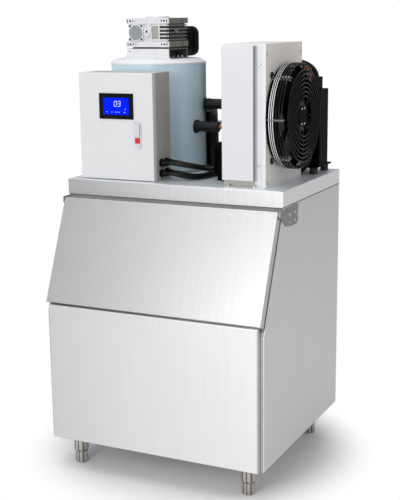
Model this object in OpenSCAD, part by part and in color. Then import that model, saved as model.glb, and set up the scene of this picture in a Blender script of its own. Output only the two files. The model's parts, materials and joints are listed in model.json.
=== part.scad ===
// Flake ice machine: insulated ice bin with a sloping lid, and on its deck the ice drum with its
// gear motor, the control box, the air-cooled condenser, the compressor and the water tank.
// Millimetres, +Z up, front towards -Y, origin on the floor under the middle of the bin.

/* [Bin] */
// Width across the side panels
bin_w = 740; // [680:1:820]
// Depth from the front panel to the back panel
bin_d = 680; // [640:1:760]
// Height of the side panels
bin_h = 773; // [740:1:820]
// Clear height under the bin
leg_h = 100; // [85:1:130]
// Thickness of the stainless sheet
sheet = 1.5; // [1:0.1:2.5]
// Insulation in the walls
foam_t = 45; // [30:1:60]
// Insulation in the floor
floor_foam = 50; // [35:1:65]
// Wall of the moulded inner liner
liner_t = 2; // [1.5:0.1:3]
// Step from the bin's side to the front panel's side
front_step = 14; // [10:0.5:20]
// Height of the front panel
front_h = 443.5; // [400:0.5:470]
// How far the front panel stands out from the side panels
front_out = 19; // [10:1:30]
// Inward flange on the side panels' front edge
flange_w = 26; // [18:1:34]
// Bend radius on the outer folds
fold_r = 2.5; // [1.6:0.1:4]
// Bore of the drain spigot
drain_bore = 20; // [15:1:30]

/* [Lid] */
// Step from the bin's side to the lid's side
lid_step = 4; // [3:0.5:8]
// Height of the bin's top above the lid's upper edge
lid_drop = 7.1; // [5:0.1:12]
// Thickness of the lid
lid_t = 26; // [22:1:30]
// Lean of the lid from upright
lid_lean = 23; // [20:0.5:25]
// Gap between the lid's lower edge and the front panel
lid_gap = 8.5; // [8.5:0.5:14]
// Thickness of the lid's gasket
gasket_t = 4.7; // [3:0.1:6]
// Width of the lid's gasket
gasket_w = 12; // [8:1:18]
// Thickness of the frame round the mouth
frame_t = 2; // [1.5:0.1:3]
// Border of the frame round the mouth
mouth_edge = 58; // [52:1:66]
// Insulation behind the mouth frame
mouth_foam = 22; // [16:1:30]
// Radius of the hinge stud
stud_r = 5; // [4:0.5:6]
// Thickness of the hinge bracket
bracket_t = 3; // [2:0.5:4]

/* [Deck] */
// Height of the deck tray
deck_h = 48; // [40:1:60]
// Overhang of the deck in front of the mouth frame
deck_over = 7.93; // [5:0.01:10]
// Thickness of the deck sheet
deck_t = 2; // [1.5:0.1:3]
// Step from the freezing cylinder's bore to the ice drop hole
drop_step = 2; // [1:0.5:4]
// Wall of the drop chute
chute_t = 2; // [1.5:0.1:3]

/* [Legs] */
// Distance from the bin's side to a leg's centre
leg_in_x = 72; // [56:1:100]
// Distance from the bin's front or back to a leg's centre
leg_in_y = 70; // [56:1:100]
// Radius of the leg tube
leg_r = 24; // [20:0.5:28]
// Radius of the screw foot
foot_r = 20; // [16:0.5:23]
// Height of the screw foot below the tube
foot_h = 42; // [34:1:55]
// Radius of the foot's stem
stem_r = 10; // [8:0.5:13]
// Length of the foot's stem
stem_h = 48; // [35:1:50]

/* [Drum] */
// Gap between the drum and the deck's left edge
drum_side = 8; // [6:0.5:12]
// Gap between the drum and the deck's back edge
drum_back = 36; // [34:1:44]
// Outer radius of the jacket
drum_r = 158; // [152:1:160]
// Height of the jacket
drum_h = 345; // [320:1:350]
// Wall of the jacket
jacket_t = 2; // [1.5:0.1:3]
// Height of the base ring's foot
base_h = 8; // [6:0.5:12]
// Bore of the freezing cylinder, as a radius
freeze_r = 110; // [100:1:112]
// Wall of the freezing cylinder
freeze_t = 10; // [8:0.5:14]
// Height of the freezing cylinder
freeze_h = 285; // [240:1:300]
// Height of the cap
cap_h = 17; // [14:0.5:22]
// Width of the cap's bevel
cap_bevel = 20; // [14:1:26]
// Radius of the main shaft
shaft_r = 14; // [11:0.5:16]
// Radius of the bearings
bearing_r = 26; // [22:1:32]
// Height of a bearing
bearing_h = 14; // [10:1:16]

/* [Gearbox] */
// Width of the gearbox flanges
gear_w = 159; // [140:1:170]
// Depth of the gearbox flanges
gear_d = 140; // [126:1:150]
// Height of the gearbox
gear_h = 93; // [84:1:104]
// Height of the foot adaptor
adaptor_h = 38; // [30:1:46]
// Thickness of a gearbox flange
gear_flange = 18; // [12:1:22]
// How far the flanges stand out from the core
gear_step = 8; // [5:0.5:12]
// Thickness of a cooling fin
fin_t = 3.6; // [2.5:0.1:5]
// Number of cooling fins
fin_count = 5; // [3:1:6]
// Width of the corner bosses on the gearbox flanges
gear_boss = 34; // [28:1:40]
// Radius of the gearbox end cap
gear_cap_r = 23.5; // [18:0.5:24]
// Half width of the motor
motor_r = 50; // [44:1:50]
// Length of the motor frame
motor_len = 62; // [40:1:66]
// Length of the motor's fan cowl
cowl_len = 34; // [28:1:40]

/* [Control box] */
// Width of the control box door
door_w = 264; // [240:1:280]
// Height of the control box door
door_h = 334; // [300:1:360]
// Depth of the door
door_d = 20; // [16:1:24]
// Gap between the control box and the drum
box_gap = 20; // [14:1:30]
// Step from the door's edge to the box's side
box_step = 3; // [1:0.5:6]
// Gap between the door and the box
door_gap = 3; // [2:0.5:5]
// Gap under the door
door_lift = 2; // [1:0.5:5]
// Sheet of the control box
box_t = 1.5; // [1:0.1:2.5]
// Front flange round the box's mouth
box_lip = 16; // [14:1:22]
// Distance from the deck's front edge to the door
box_setback = 26; // [20:1:40]
// Radius of the door's hinge pins
pin_r = 2.5; // [2:0.1:3]
// Width of the screen bezel
bezel_w = 122; // [100:1:140]
// Height of the screen bezel
bezel_h = 80; // [66:1:92]
// Width of the screen
lcd_w = 92; // [80:1:98]
// Height of the screen
lcd_h = 53; // [44:1:60]
// Width of the latch
latch_w = 24; // [20:1:30]
// Length of the latch
latch_h = 88; // [76:1:100]
// Radius of the latch button
button_r = 8; // [6:0.5:9]
// Travel of the latch button
button_travel = 3; // [2:0.5:3]

/* [Condenser] */
// Width of the condenser casing
cond_w = 136; // [124:1:150]
// Gap between the condenser casing and the compressor
comp_gap = 9; // [6:0.5:14]
// Height of the condenser casing
cond_h = 424; // [400:1:450]
// Distance from the deck's right edge to the casing
cond_edge = 72; // [72:1:76]
// Distance from the deck's front edge to the casing
cond_setback = 42; // [38:1:60]
// Sheet of the casing
cond_t = 1.5; // [1:0.1:2.5]
// Width of the casing's front strip beside the cover
cover_side = 35; // [30:1:44]
// Gap above the front cover
cover_drop = 6; // [4:0.5:12]
// Depth of the front cover
cover_d = 12; // [8:1:18]
// Thickness of the finned coil
coil_w = 56; // [40:1:66]
// Pitch of the coil's fins
fin_pitch = 6; // [5:0.5:10]
// Number of tube rows in the coil
tube_rows = 8; // [5:1:9]

/* [Fan] */
// Drop of the fan's centre below the casing's middle
fan_drop = 8; // [0:1:12]
// Rim of the casing beside the air opening
fan_rim = 8; // [6:0.5:14]
// How far the guard's rings reach past the air opening
guard_over = 17; // [16:1:26]
// Depth of the guard from the casing
guard_d = 68; // [64:1:70]
// Radius of the guard's ring wire
ring_wire = 2.3; // [1.8:0.1:2.8]
// Radius of the guard's spoke wire
spoke_wire = 2.6; // [2:0.1:3]
// Pitch of the guard's face rings
ring_pitch = 13; // [11:0.5:16]
// Gap between the blade tips and the air opening's edge
tip_gap = 8; // [5:0.5:14]
// Number of fan blades
blade_count = 5; // [4:1:7]
// Radius of the fan hub
hub_r = 46; // [40:1:52]
// Radius of the fan motor's shaft
fan_shaft_r = 6; // [4:0.5:8]

/* [Refrigeration] */
// Radius of the compressor shell
comp_r = 80; // [72:1:82]
// Height of the compressor shell
comp_h = 340; // [300:1:360]
// Radius of the liquid receiver
tank_r = 40; // [32:1:42]
// Height of the liquid receiver
tank_h = 118; // [100:1:119]
// Radius of the pipe insulation
hose_r = 17; // [14:0.5:18]
// Radius of the copper pipe
pipe_r = 6; // [5:0.5:7]
// Radius of a cable
cable_r = 6.5; // [5:0.5:7]

/* [Water] */
// Width of the water tank
water_w = 124; // [110:1:126]
// Depth of the water tank
water_d = 126; // [110:1:128]
// Height of the water tank
water_h = 108; // [90:1:112]
// Wall of the water tank
water_t = 3; // [2:0.5:4]

/* [Fits] */
// Radial clearance of a turning fit
run_fit = 0.06; // [0.03:0.01:0.09]
// Clearance between parts that move past each other
move_gap = 0.4; // [0.3:0.05:0.8]
// Radius of a panel screw's shank
screw_r = 2.5; // [2:0.1:3]
// Clearance of a screw in its hole
screw_fit = 0.2; // [0.1:0.05:0.4]

/* [Hidden] */
$fn = 64;
eps = 0.01;
cut = 1;

half_w = bin_w / 2;
front_y = -bin_d / 2;
back_y = bin_d / 2;
bin_top = leg_h + bin_h;
side_y = front_y + front_out;
inner_x = half_w - sheet;
front_w = bin_w - 2 * front_step;
foam_y0 = side_y + sheet;
foam_y1 = back_y - sheet;
foam_z0 = leg_h + sheet;
cave_x = inner_x - foam_t - liner_t;
cave_y0 = foam_y0 + foam_t + liner_t;
cave_y1 = foam_y1 - foam_t - liner_t;
cave_z0 = foam_z0 + floor_foam + liner_t;
spigot_h = 14;

// The lid's own frame: z runs up the slope, y runs inward from its outer face
lid_in = 1;
lid_w = bin_w - 2 * lid_step;
lid_y = front_y + lid_in;
lid_z = leg_h + front_h + lid_gap;
lid_len = (bin_top - lid_drop - lid_z) / cos(lid_lean);
pivot_y = 10;
pivot_z = lid_len - 8;
seat_gap = 0.3;
seat_y = lid_t + gasket_t + seat_gap;
side_gap = 3;
swing_r = norm([lid_t - pivot_y, lid_len - pivot_z]) + 1.5;
hinge_y = lid_y + pivot_z * sin(lid_lean) + pivot_y * cos(lid_lean);
hinge_z = lid_z + pivot_z * cos(lid_lean) - pivot_y * sin(lid_lean);
boss_x = 30;
boss_z = 40;
stud_in = 20;
frame_low = 10;
frame_high = 17;

// Height and depth on a plane that lies a distance behind the lid's outer face
function slope_z(off, y) =
    lid_z + (y - lid_y - off * cos(lid_lean)) / tan(lid_lean) - off * sin(lid_lean);
function slope_y(off, z) =
    lid_y + (z - lid_z + off * sin(lid_lean)) * tan(lid_lean) + off * cos(lid_lean);

deck_y0 = slope_y(seat_y, bin_top) - deck_over;
deck_d = back_y - deck_y0;
deck_top = bin_top + deck_h;
drop_r = freeze_r + drop_step;
chute_in = 10;

foot_gap = 0.4;
tube_z = foot_h + foot_gap;
tube_flange = 80;
tube_flange_t = 3;
leg_places = [for (x = [-1, 1], y = [-1, 1]) [x * (half_w - leg_in_x), y * (bin_d / 2 - leg_in_y)]];

drum_x = drum_r + drum_side - half_w;
drum_y = back_y - drum_r - drum_back;
jacket_z = deck_top + base_h;
jacket_top = jacket_z + drum_h;
cap_top = jacket_top + cap_h;
base_step = 12;
spider_h = bearing_h + 2;
freeze_z = jacket_z + base_step;
freeze_flange = 6;
freeze_top = freeze_z + freeze_flange + freeze_h;

gear_z = cap_top + adaptor_h;
gear_top = gear_z + gear_h;
gear_y0 = drum_y - gear_d / 2 - 6;
gear_x0 = drum_x - gear_w / 2;
gear_x1 = gear_x0 + gear_w;
gear_cap_x = gear_x0 + gear_cap_r + 12;
gear_mid_z = gear_z + gear_h / 2;
gear_bar = 3;
gear_bolt_r = 3.5;
fin_x0 = gear_x1 - gear_boss - 1;
lobe_r = 7;
lobe_at = gear_cap_r - 2;
lug_x = drum_x - 3;
lug_r = 10.5;
plate_x0 = gear_x0 + 94;
plate_w = 26;
plate_h = 42;
motor_x = drum_x + 23;
motor_z = gear_z + 15;
motor_pad_w = 72;
motor_pad_h = 48;
motor_y = gear_y0 + gear_d;
motor_corner = 24;

door_y = deck_y0 + box_setback;
box_x = drum_x + 2;
door_x0 = box_x - door_w / 2;
door_z = deck_top + door_lift;
box_w = door_w - 2 * box_step;
box_h = door_h + door_lift;
box_y = door_y + door_d + door_gap;
box_y1 = drum_y - drum_r - box_gap;
box_d = box_y1 - box_y;
door_r = 3;
hinge_pin_x = door_x0 + 5;
hinge_pin_y = door_y + door_d / 2;
hinge_zs = [door_z + 50, door_z + door_h - 50];
knuckle_h = 16;
knuckle_w = 5;
leaf_h = 12;
leaf_t = 2;
bezel_x = box_x + 3;
bezel_z = door_z + door_h - 103;
bezel_out = 3;
bezel_deep = 24;
lcd_t = 1.6;
lcd_sink = 0.8;
latch_x = box_x + 78;
latch_z = door_z + 144;
latch_out = 4;
handle_out = 5;
handle_w = latch_w - 8;
handle_h = 46;
handle_z = latch_z + latch_h / 2 - 6;
handle_pin_r = 1.5;
button_z = latch_z - 18;
button_out = button_travel;
rail_d = box_d * 0.08;
device_d = box_d * 0.55;
gland_x = box_x + box_w / 2;
gland_ys = [box_y + box_d * 0.3, box_y + box_d * 0.65];
gland_zs = [deck_top + 22, deck_top + 55];
gland_r = 11;
gland_len = 26;

comp_x = half_w - 130;
comp_y = back_y - comp_r - 6;
comp_z = deck_top + 26;
comp_foot_w = 182;
comp_foot_d = 140;
comp_foot_t = 5;
comp_foot_x = comp_x + 15;
grommet_r = 13;
grommet_in = grommet_r + 5;
grommet_h = comp_z - deck_top - comp_foot_t;
term_w = 78;
term_x1 = comp_x + comp_r + 23;
term_h = comp_h - 95;
term_y = comp_y - term_w / 2;
lead_box_w = 20;
lead_box_h = 38;
stub_out = 5;

cond_x1 = half_w - cond_edge;
cond_x0 = cond_x1 - cond_w;
cond_y0 = deck_y0 + cond_setback;
cond_y1 = comp_y - comp_r - comp_gap;
cond_d = cond_y1 - cond_y0;
cond_yc = (cond_y0 + cond_y1) / 2;
cond_lip = 12;
cond_foot_t = 2;
cover_lift = 20;
cover_w = cond_w + 2 - cover_side;
cover_h = cond_h - cover_lift - cover_drop;
cover_z = deck_top + cover_lift;
cover_x0 = cond_x0 - 2;
coil_x0 = cond_x0 + cond_lip;
coil_end = 24;
coil_lift = 14;
coil_row = 20;
hairpin_r = 12;
hairpin_wire = 5;
bend_pitch = (cond_h - 2 * coil_lift - 2 * coil_row) / (tube_rows - 1);

fan_y = cond_yc;
fan_c = deck_top + cond_h / 2 - fan_drop;
fan_hole_r = cond_d / 2 - fan_rim;
guard_r = fan_hole_r + guard_over;
blade_r = fan_hole_r - tip_gap;
guard_x = cond_x1 + guard_d;
base_rings = [14, 20, 26];
side_rings = [35, 44, 53];
spoke_single = [0, 90, 180, 270];
spoke_pair = [50, 130, 230, 310];
pair_half = 1.9;
wire_gap = 0.06;
spoke_r = guard_r - ring_wire - spoke_wire - wire_gap;
spoke_bend = 9;
eye_r = 7.5;
eye_at = spoke_r + 2 * spoke_wire + eye_r + wire_gap;
face_x = guard_x - 2 * ring_wire - wire_gap - spoke_wire;
plate_r = hub_r + 4;
plate_t = 3;
motor_plate_x = face_x - spoke_wire - plate_t;
hub_x0 = cond_x1 + 14;
hub_x1 = motor_plate_x - 8;
blade_x = hub_x0 + 10;

recv_gap = 7;
recv_x = cond_x0 - tank_r - recv_gap;
recv_y = cond_y0 + 121;
recv_z = deck_top + 4;

water_gap = 14;
water_x = comp_x - comp_r - water_gap - water_w;
water_y = back_y - water_d - water_gap;
pump_x = water_x + 38;
pump_y = water_y + water_d / 2;
pump_r = 26;
pump_h = 58;
hose_lift = 36;
water_pipe_r = 7;
probe_x = water_x + 48;
probe_z = deck_top + water_h / 5;
probe_r = 10;
probe_out = 6;

// Places on the drum where the two insulated pipes come out
low_port = [drum_y - 28, deck_top + 150];
high_port = [drum_y + 32, deck_top + 220];
port_r = 25;
port_t = 3;
port_flare = 6;
hose_end = 78;

// Hand-placed points of the four cables, which run as a bundle across the deck behind the receiver
cable_z = deck_top + cable_r + 1.2;
end_gap = 0.05;
plug_r = 9;
plug_y = pump_y - pump_r - 6;
plug_z = deck_top + water_h + 16;
gland_out = gland_x + gland_len + 13;
bundle_x = recv_x - tank_r - 39;
aisle_y0 = recv_y - 46;
aisle_y1 = water_y - 38;
function lane(t) = gland_out + t * (bundle_x - gland_out);
function aisle(t) = aisle_y0 + t * (aisle_y1 - aisle_y0);
function gland_way(y, z) = [for (x = [gland_x + 3, gland_x + 23, gland_out]) [x, y, z]];
cond_lead_y = cond_y1 - 45;
cable_routes = [
    concat(gland_way(gland_ys[0], gland_zs[0]), [
        [lane(0.37), gland_ys[0] + 4, deck_top + 17], [lane(0.71), gland_ys[0] + 21, deck_top + 10],
        [lane(0.97), aisle(0.05), cable_z], [bundle_x + 8, aisle(0.23), cable_z],
        [bundle_x + 14, aisle(0.47), cable_z], [bundle_x + 27, aisle(0.68), cable_z],
        [bundle_x + 54, cond_lead_y - 5, cable_z], [cond_x0 - 38, cond_lead_y, cable_z],
        [cond_x0 - end_gap, cond_lead_y, cable_z]]),
    concat(gland_way(gland_ys[0], gland_zs[1]), [
        [lane(0.4), gland_ys[0] + 4, deck_top + 51], [lane(0.8), gland_ys[0] + 20, deck_top + 45],
        [bundle_x + 6, aisle(0.05), deck_top + 37], [bundle_x + 15, aisle(0.23), deck_top + 29],
        [bundle_x + 20, aisle(0.5), deck_top + 24], [bundle_x + 26, aisle(0.72), deck_top + 24],
        [bundle_x + 40, aisle(0.9), deck_top + 20], [bundle_x + 63, cond_y1, deck_top + 12],
        [water_x + 118, cond_y1 + 10, cable_z], [comp_x - 40, cond_y1 + 10, cable_z],
        [comp_x + 36, cond_y1 + 10, cable_z], [comp_x + 65, cond_y1 + 8, deck_top + 19],
        [comp_x + 82, cond_y1 + 4, deck_top + 44], [comp_x + 88, cond_y1 + 1, deck_top + 69],
        [comp_x + 89, cond_y1, deck_top + 91], [comp_x + 89, term_y - 47, deck_top + 106.3],
        [comp_x + 89, term_y - 38.3, deck_top + 119.3], [comp_x + 89, term_y - 25.3, deck_top + 128],
        [comp_x + 89, term_y - 12, deck_top + 130.6], [comp_x + 89, term_y - end_gap, deck_top + 131]]),
    concat(gland_way(gland_ys[1], gland_zs[0]), [
        [lane(0.32), gland_ys[1] + 4, deck_top + 18], [lane(0.58), gland_ys[1] + 18, deck_top + 12],
        [lane(0.77), aisle(0.18), cable_z + 1], [lane(0.89), aisle(0.33), cable_z],
        [bundle_x - 10, aisle(0.5), cable_z + 2], [bundle_x - 8, aisle(0.69), cable_z + 14],
        [bundle_x + 1, aisle(0.85), cable_z + 38], [pump_x - 11, water_y - 42, plug_z - 43],
        [pump_x - 3, water_y - 17, plug_z - 13], [pump_x, plug_y - 22, plug_z - 1.5],
        [pump_x, plug_y - end_gap, plug_z]]),
    concat(gland_way(gland_ys[1], gland_zs[1]), [
        [lane(0.34), gland_ys[1] + 3, deck_top + 51], [lane(0.65), gland_ys[1] + 17, deck_top + 45],
        [lane(0.88), aisle(0.17), deck_top + 38], [bundle_x + 1, aisle(0.33), deck_top + 30],
        [bundle_x + 6, aisle(0.51), deck_top + 23], [bundle_x + 12, aisle(0.7), deck_top + 18],
        [bundle_x + 20, aisle(0.88), deck_top + 17], [probe_x, water_y - probe_out - 26, probe_z],
        [probe_x, water_y - probe_out - end_gap, probe_z]])
];
cable_sides = 10;
cable_steps = 4;

// Corners of the insulated suction pipe and of the compressor's discharge pipe
high_x = water_x + 70;
high_route = [
    [drum_x + drum_r - 4, high_port[0], high_port[1]],
    [high_x, high_port[0], high_port[1]],
    [high_x, comp_y, high_port[1]],
    [comp_x - comp_r - stub_out, comp_y, high_port[1]]
];
low_x0 = drum_x + drum_r - 3.5;
low_x1 = low_x0 + hose_end;
out_x0 = comp_x + comp_r * 0.55;
out_x1 = comp_x + comp_r;
out_y0 = comp_y - comp_r * 0.76;
out_y1 = cond_y1 + 13;
out_top = comp_z + comp_h - 23;
out_low = out_top - 56;
out_route = [
    [out_x0, out_y0, out_top], [out_x0, out_y1, out_top], [out_x1, out_y1, out_top],
    [out_x1, out_y1, out_low], [out_x0, out_y1, out_low], [out_x0, cond_y1, out_low]
];

// Corners of the water pipe, from the pump round the back of the drum to its top
hose_x = water_x - 42;
hose_z = deck_top + water_h + hose_lift;
hose_y = drum_y + drum_r + 18;
hose_in_z = jacket_top - 19;
water_route = [
    [pump_x - pump_r - 10, pump_y, hose_z], [hose_x, pump_y, hose_z], [hose_x, hose_y, hose_z],
    [drum_x, hose_y, hose_z], [drum_x, hose_y, hose_in_z],
    [drum_x, drum_y + drum_r + end_gap, hose_in_z]
];

// Unit vector and perpendicular of a direction
function unit(v) = v / norm(v);
function turn_side(a, b) = unit(b - (a * b) * a);

// Part of a matrix that puts local x, y, z along given directions at a point
function place(x, y, z, p) = [
    [x[0], y[0], z[0], p[0]],
    [x[1], y[1], z[1], p[1]],
    [x[2], y[2], z[2], p[2]],
    [0, 0, 0, 1]
];

// Any direction square to a given one
function square_to(d) = unit(cross(d, abs(d[2]) > 0.9 ? [1, 0, 0] : [0, 0, 1]));

// Point on a smooth curve through a list of points
function curve_at(p, i, t) =
    let (a = p[max(i - 1, 0)], b = p[i], c = p[i + 1], d = p[min(i + 2, len(p) - 1)])
    0.5 * (2 * b + (c - a) * t + (2 * a - 5 * b + 4 * c - d) * t * t
        + (3 * b - a - 3 * c + d) * t * t * t);
function curve(p, steps) = [
    for (i = [0:len(p) - 2], k = [0:steps - 1]) curve_at(p, i, k / steps),
    p[len(p) - 1]
];

steel = "#c9cacc";
white = "#e6e6ea";
black = "#1c1c1e";
copper = "#b4643c";
alu = "#c4c6c8";

// Outlines

module front_round(w, d, r) {
    translate([-w / 2, r]) square([w, d - r]);
    translate([-w / 2 + r, 0]) square([w - 2 * r, d]);
    for (s = [-1, 1]) translate([s * (w / 2 - r), r]) circle(r);
}

module side_round(d, h, r) {
    translate([r, 0]) square([d - r, h]);
    translate([0, r]) square([d, h - 2 * r]);
    for (z = [r, h - r]) translate([r, z]) circle(r);
}

module oblong(w, h) {
    translate([-w / 2, -(h - w) / 2]) square([w, h - w]);
    for (s = [-1, 1]) translate([0, s * (h - w) / 2]) circle(w / 2);
}

module round_rect(w, h, r) {
    square([w, h - 2 * r], center = true);
    square([w - 2 * r, h], center = true);
    for (x = [-1, 1], z = [-1, 1]) translate([x * (w / 2 - r), z * (h / 2 - r)]) circle(r);
}

// Building helpers

// A profile drawn in depth and height, carried along the width
module along_x(w) {
    translate([-w / 2, 0, 0]) rotate([90, 0, 90]) linear_extrude(w) children();
}

// A profile drawn in width and height, carried back from y = 0
module along_y(d) {
    translate([0, d, 0]) rotate([90, 0, 0]) linear_extrude(d) children();
}

// Block whose front edges are rounded; centred on x, front at y = 0, bottom at z = 0
module soft_block(w, d, h, r) {
    intersection() {
        linear_extrude(h) front_round(w, d, r);
        along_x(w) side_round(d, h, r);
    }
}

// Folded tray: a soft block with its back hollowed
module tray(w, d, h, t, r) {
    difference() {
        soft_block(w, d, h, r);
        translate([-w / 2 + t, t, t]) cube([w - 2 * t, d - t + cut, h - 2 * t]);
    }
}

module rod(a, b, r) {
    d = unit(b - a);
    x = square_to(d);
    multmatrix(place(x, cross(d, x), d, a)) cylinder(r = r, h = norm(b - a));
}

// Round bar through points, with bends of one radius at the corners
module bent_bar(pts, r, bend) {
    n = len(pts);
    dirs = [for (i = [0:n - 2]) unit(pts[i + 1] - pts[i])];
    backs = [for (i = [0:n - 1]) i == 0 || i == n - 1 ? 0 :
        bend * tan(acos(dirs[i - 1] * dirs[i]) / 2)];
    for (i = [0:n - 2]) rod(pts[i] + dirs[i] * backs[i], pts[i + 1] - dirs[i] * backs[i + 1], r);
    for (i = [1:n - 2]) {
        side = turn_side(dirs[i - 1], dirs[i]);
        start = pts[i] - dirs[i - 1] * backs[i];
        multmatrix(place(-side, dirs[i - 1], cross(dirs[i - 1], side), start + side * bend))
            rotate_extrude(angle = acos(dirs[i - 1] * dirs[i])) translate([bend, 0]) circle(r);
    }
}

// Round cord swept along points, as one closed skin
module cord(pts, r, sides) {
    n = len(pts);
    ways = [for (i = [0:n - 1]) unit(pts[min(i + 1, n - 1)] - pts[max(i - 1, 0)])];
    rims = [for (i = [0:n - 1]) let (x = square_to(ways[i]), y = cross(ways[i], x))
        for (k = [0:sides - 1]) pts[i] + r * (cos(360 * k / sides) * x + sin(360 * k / sides) * y)];
    walls = [for (i = [0:n - 2], k = [0:sides - 1])
        let (l = (k + 1) % sides)
        [i * sides + k, (i + 1) * sides + k, (i + 1) * sides + l, i * sides + l]];
    polyhedron(rims, concat(walls, [[for (k = [0:sides - 1]) k]],
        [[for (k = [sides - 1:-1:0]) (n - 1) * sides + k]]));
}

module lid_frame() {
    translate([0, lid_y, lid_z]) rotate([-lid_lean, 0, 0]) children();
}

module both_sides() {
    children();
    mirror([1, 0, 0]) children();
}

module panel_screw(len) {
    cylinder(r = screw_r * 2, h = 1);
    translate([0, 0, 1]) cylinder(r1 = screw_r * 2, r2 = screw_r * 1.3, h = 1.5);
    translate([0, 0, -len]) cylinder(r = screw_r, h = len);
}

module hex_bolt(r, h) {
    cylinder(r = r * 1.3, h = 1.2);
    translate([0, 0, 1.2 - eps]) cylinder(r = r, h = h, $fn = 6);
}

// Places of the screws: on the hinge brackets, on the condenser casing's right face and front strip
bracket_screw_spots = [for (y = [69, 113], z = [25, 49]) [hinge_y + y, bin_top - z]];
cond_face_spots = [
    [cond_y0 + 10, 0.93], [cond_y1 - 14, 0.93], [cond_y0 + 10, 0.62], [cond_y0 + 10, 0.31],
    [cond_y0 + 10, 0.03]
];
cond_front_spots = [0.86, 0.16];
cond_front_x = cover_x0 + cover_w + 14;
cond_foot_spots = [cond_x0 + 18, cond_front_x - 13];
adaptor_bolt_ys = [30, 52, 88, 118];
bolt_r = 4.4;
bolt_h = 5;

// Bin

module side_outline() {
    polygon([
        [side_y, leg_h], [foam_y1, leg_h], [foam_y1, bin_top],
        [slope_y(lid_t + side_gap, bin_top), bin_top], [side_y, slope_z(lid_t + side_gap, side_y)]
    ]);
}

module side_panel() {
    difference() {
        union() {
            translate([half_w - sheet / 2, 0, 0]) along_x(sheet) side_outline();
            translate([half_w - flange_w, side_y, leg_h])
                cube([flange_w - eps, sheet, slope_z(lid_t + side_gap, side_y) - leg_h - 0.5]);
        }
        for (s = bracket_screw_spots) translate([half_w - sheet - cut, s[0], s[1]])
            rotate([0, 90, 0]) cylinder(r = screw_r + screw_fit, h = sheet + 2 * cut);
    }
}

module side_panel_right() color(steel) side_panel();
module side_panel_left() color(steel) mirror([1, 0, 0]) side_panel();

module front_panel() color(steel)
    translate([0, front_y, leg_h]) tray(front_w, front_out, front_h, sheet, fold_r);

module back_panel() color(steel)
    translate([-inner_x, foam_y1, leg_h]) cube([2 * inner_x, sheet, bin_h]);

module floor_panel() color(steel) difference() {
    translate([-inner_x, foam_y0, leg_h]) cube([2 * inner_x, foam_y1 - foam_y0, sheet]);
    translate([0, 0, leg_h - cut])
        cylinder(r = drain_bore / 2 + liner_t + screw_fit, h = sheet + 2 * cut);
}

// Section of the ice space, grown outwards by a wall
module cave_outline(grow) {
    off = seat_y + mouth_foam - grow;
    polygon([
        [cave_y0 - grow, cave_z0 - grow], [cave_y1 + grow, cave_z0 - grow],
        [cave_y1 + grow, bin_top], [slope_y(off, bin_top), bin_top],
        [cave_y0 - grow, slope_z(off, cave_y0 - grow)]
    ]);
}

module mouth_hole(w) {
    lid_frame() translate([-w / 2, seat_y - 20, mouth_edge])
        cube([w, mouth_foam + 60, lid_len - 2 * mouth_edge]);
}

mouth_w = 2 * cave_x - 40;
cave_top_y = slope_y(seat_y + mouth_foam - liner_t, bin_top);

module bin_liner() color("#eef0f0") difference() {
    union() {
        difference() {
            along_x(2 * cave_x + 2 * liner_t) cave_outline(liner_t);
            along_x(2 * cave_x) cave_outline(0);
            translate([-cave_x, cave_y0, bin_top - cut])
                cube([2 * cave_x, cave_y1 - cave_y0, 2 * cut]);
        }
        translate([0, 0, leg_h - spigot_h])
            cylinder(r = drain_bore / 2 + liner_t, h = cave_z0 - liner_t - leg_h + spigot_h);
    }
    mouth_hole(mouth_w);
    translate([0, 0, leg_h - spigot_h - cut])
        cylinder(r = drain_bore / 2, h = cave_z0 - leg_h + spigot_h + 2 * cut);
}

module bin_foam() color("#f0e6b4") difference() {
    along_x(2 * inner_x) polygon([
        [foam_y0, foam_z0], [foam_y1, foam_z0], [foam_y1, bin_top],
        [slope_y(seat_y, bin_top), bin_top], [foam_y0, slope_z(seat_y, foam_y0)]
    ]);
    along_x(2 * cave_x + 2 * liner_t) cave_outline(liner_t);
    translate([-cave_x - liner_t, cave_top_y, bin_top - cut])
        cube([2 * (cave_x + liner_t), cave_y1 + liner_t - cave_top_y, 2 * cut]);
    mouth_hole(mouth_w);
    along_x(bin_w) translate([hinge_y, hinge_z]) circle(swing_r);
    translate([0, 0, leg_h - cut]) cylinder(r = drain_bore / 2 + liner_t, h = cave_z0 - leg_h);
}

module mouth_frame() color("#9a9c9e") lid_frame() difference() {
    translate([-inner_x, seat_y - frame_t, -frame_low])
        cube([2 * inner_x, frame_t, lid_len + frame_low + frame_high]);
    translate([-mouth_w / 2, seat_y - frame_t - cut, mouth_edge])
        cube([mouth_w, frame_t + 2 * cut, lid_len - 2 * mouth_edge]);
}

module deck() color(steel) difference() {
    translate([0, deck_y0, deck_top]) rotate([-90, 0, 0]) soft_block(bin_w, deck_h, deck_d, fold_r);
    translate([-half_w + deck_t, deck_y0 + deck_t, bin_top - cut])
        cube([bin_w - 2 * deck_t, deck_d - 2 * deck_t, deck_h - deck_t + cut]);
    translate([drum_x, drum_y, bin_top]) cylinder(r = drop_r + chute_t, h = deck_h + cut);
}

module deck_foam() color("#f0e6b4") difference() {
    translate([-half_w + deck_t, deck_y0 + deck_t, bin_top])
        cube([bin_w - 2 * deck_t, deck_d - 2 * deck_t, deck_h - deck_t]);
    translate([drum_x, drum_y, bin_top - cut]) cylinder(r = drop_r + chute_t, h = deck_h + cut);
}

module drop_chute() color("#eef0f0") translate([drum_x, drum_y, bin_top - chute_in]) difference() {
    cylinder(r = drop_r + chute_t, h = deck_h + chute_in);
    translate([0, 0, -cut]) cylinder(r = drop_r, h = deck_h + chute_in + 2 * cut);
}

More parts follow.
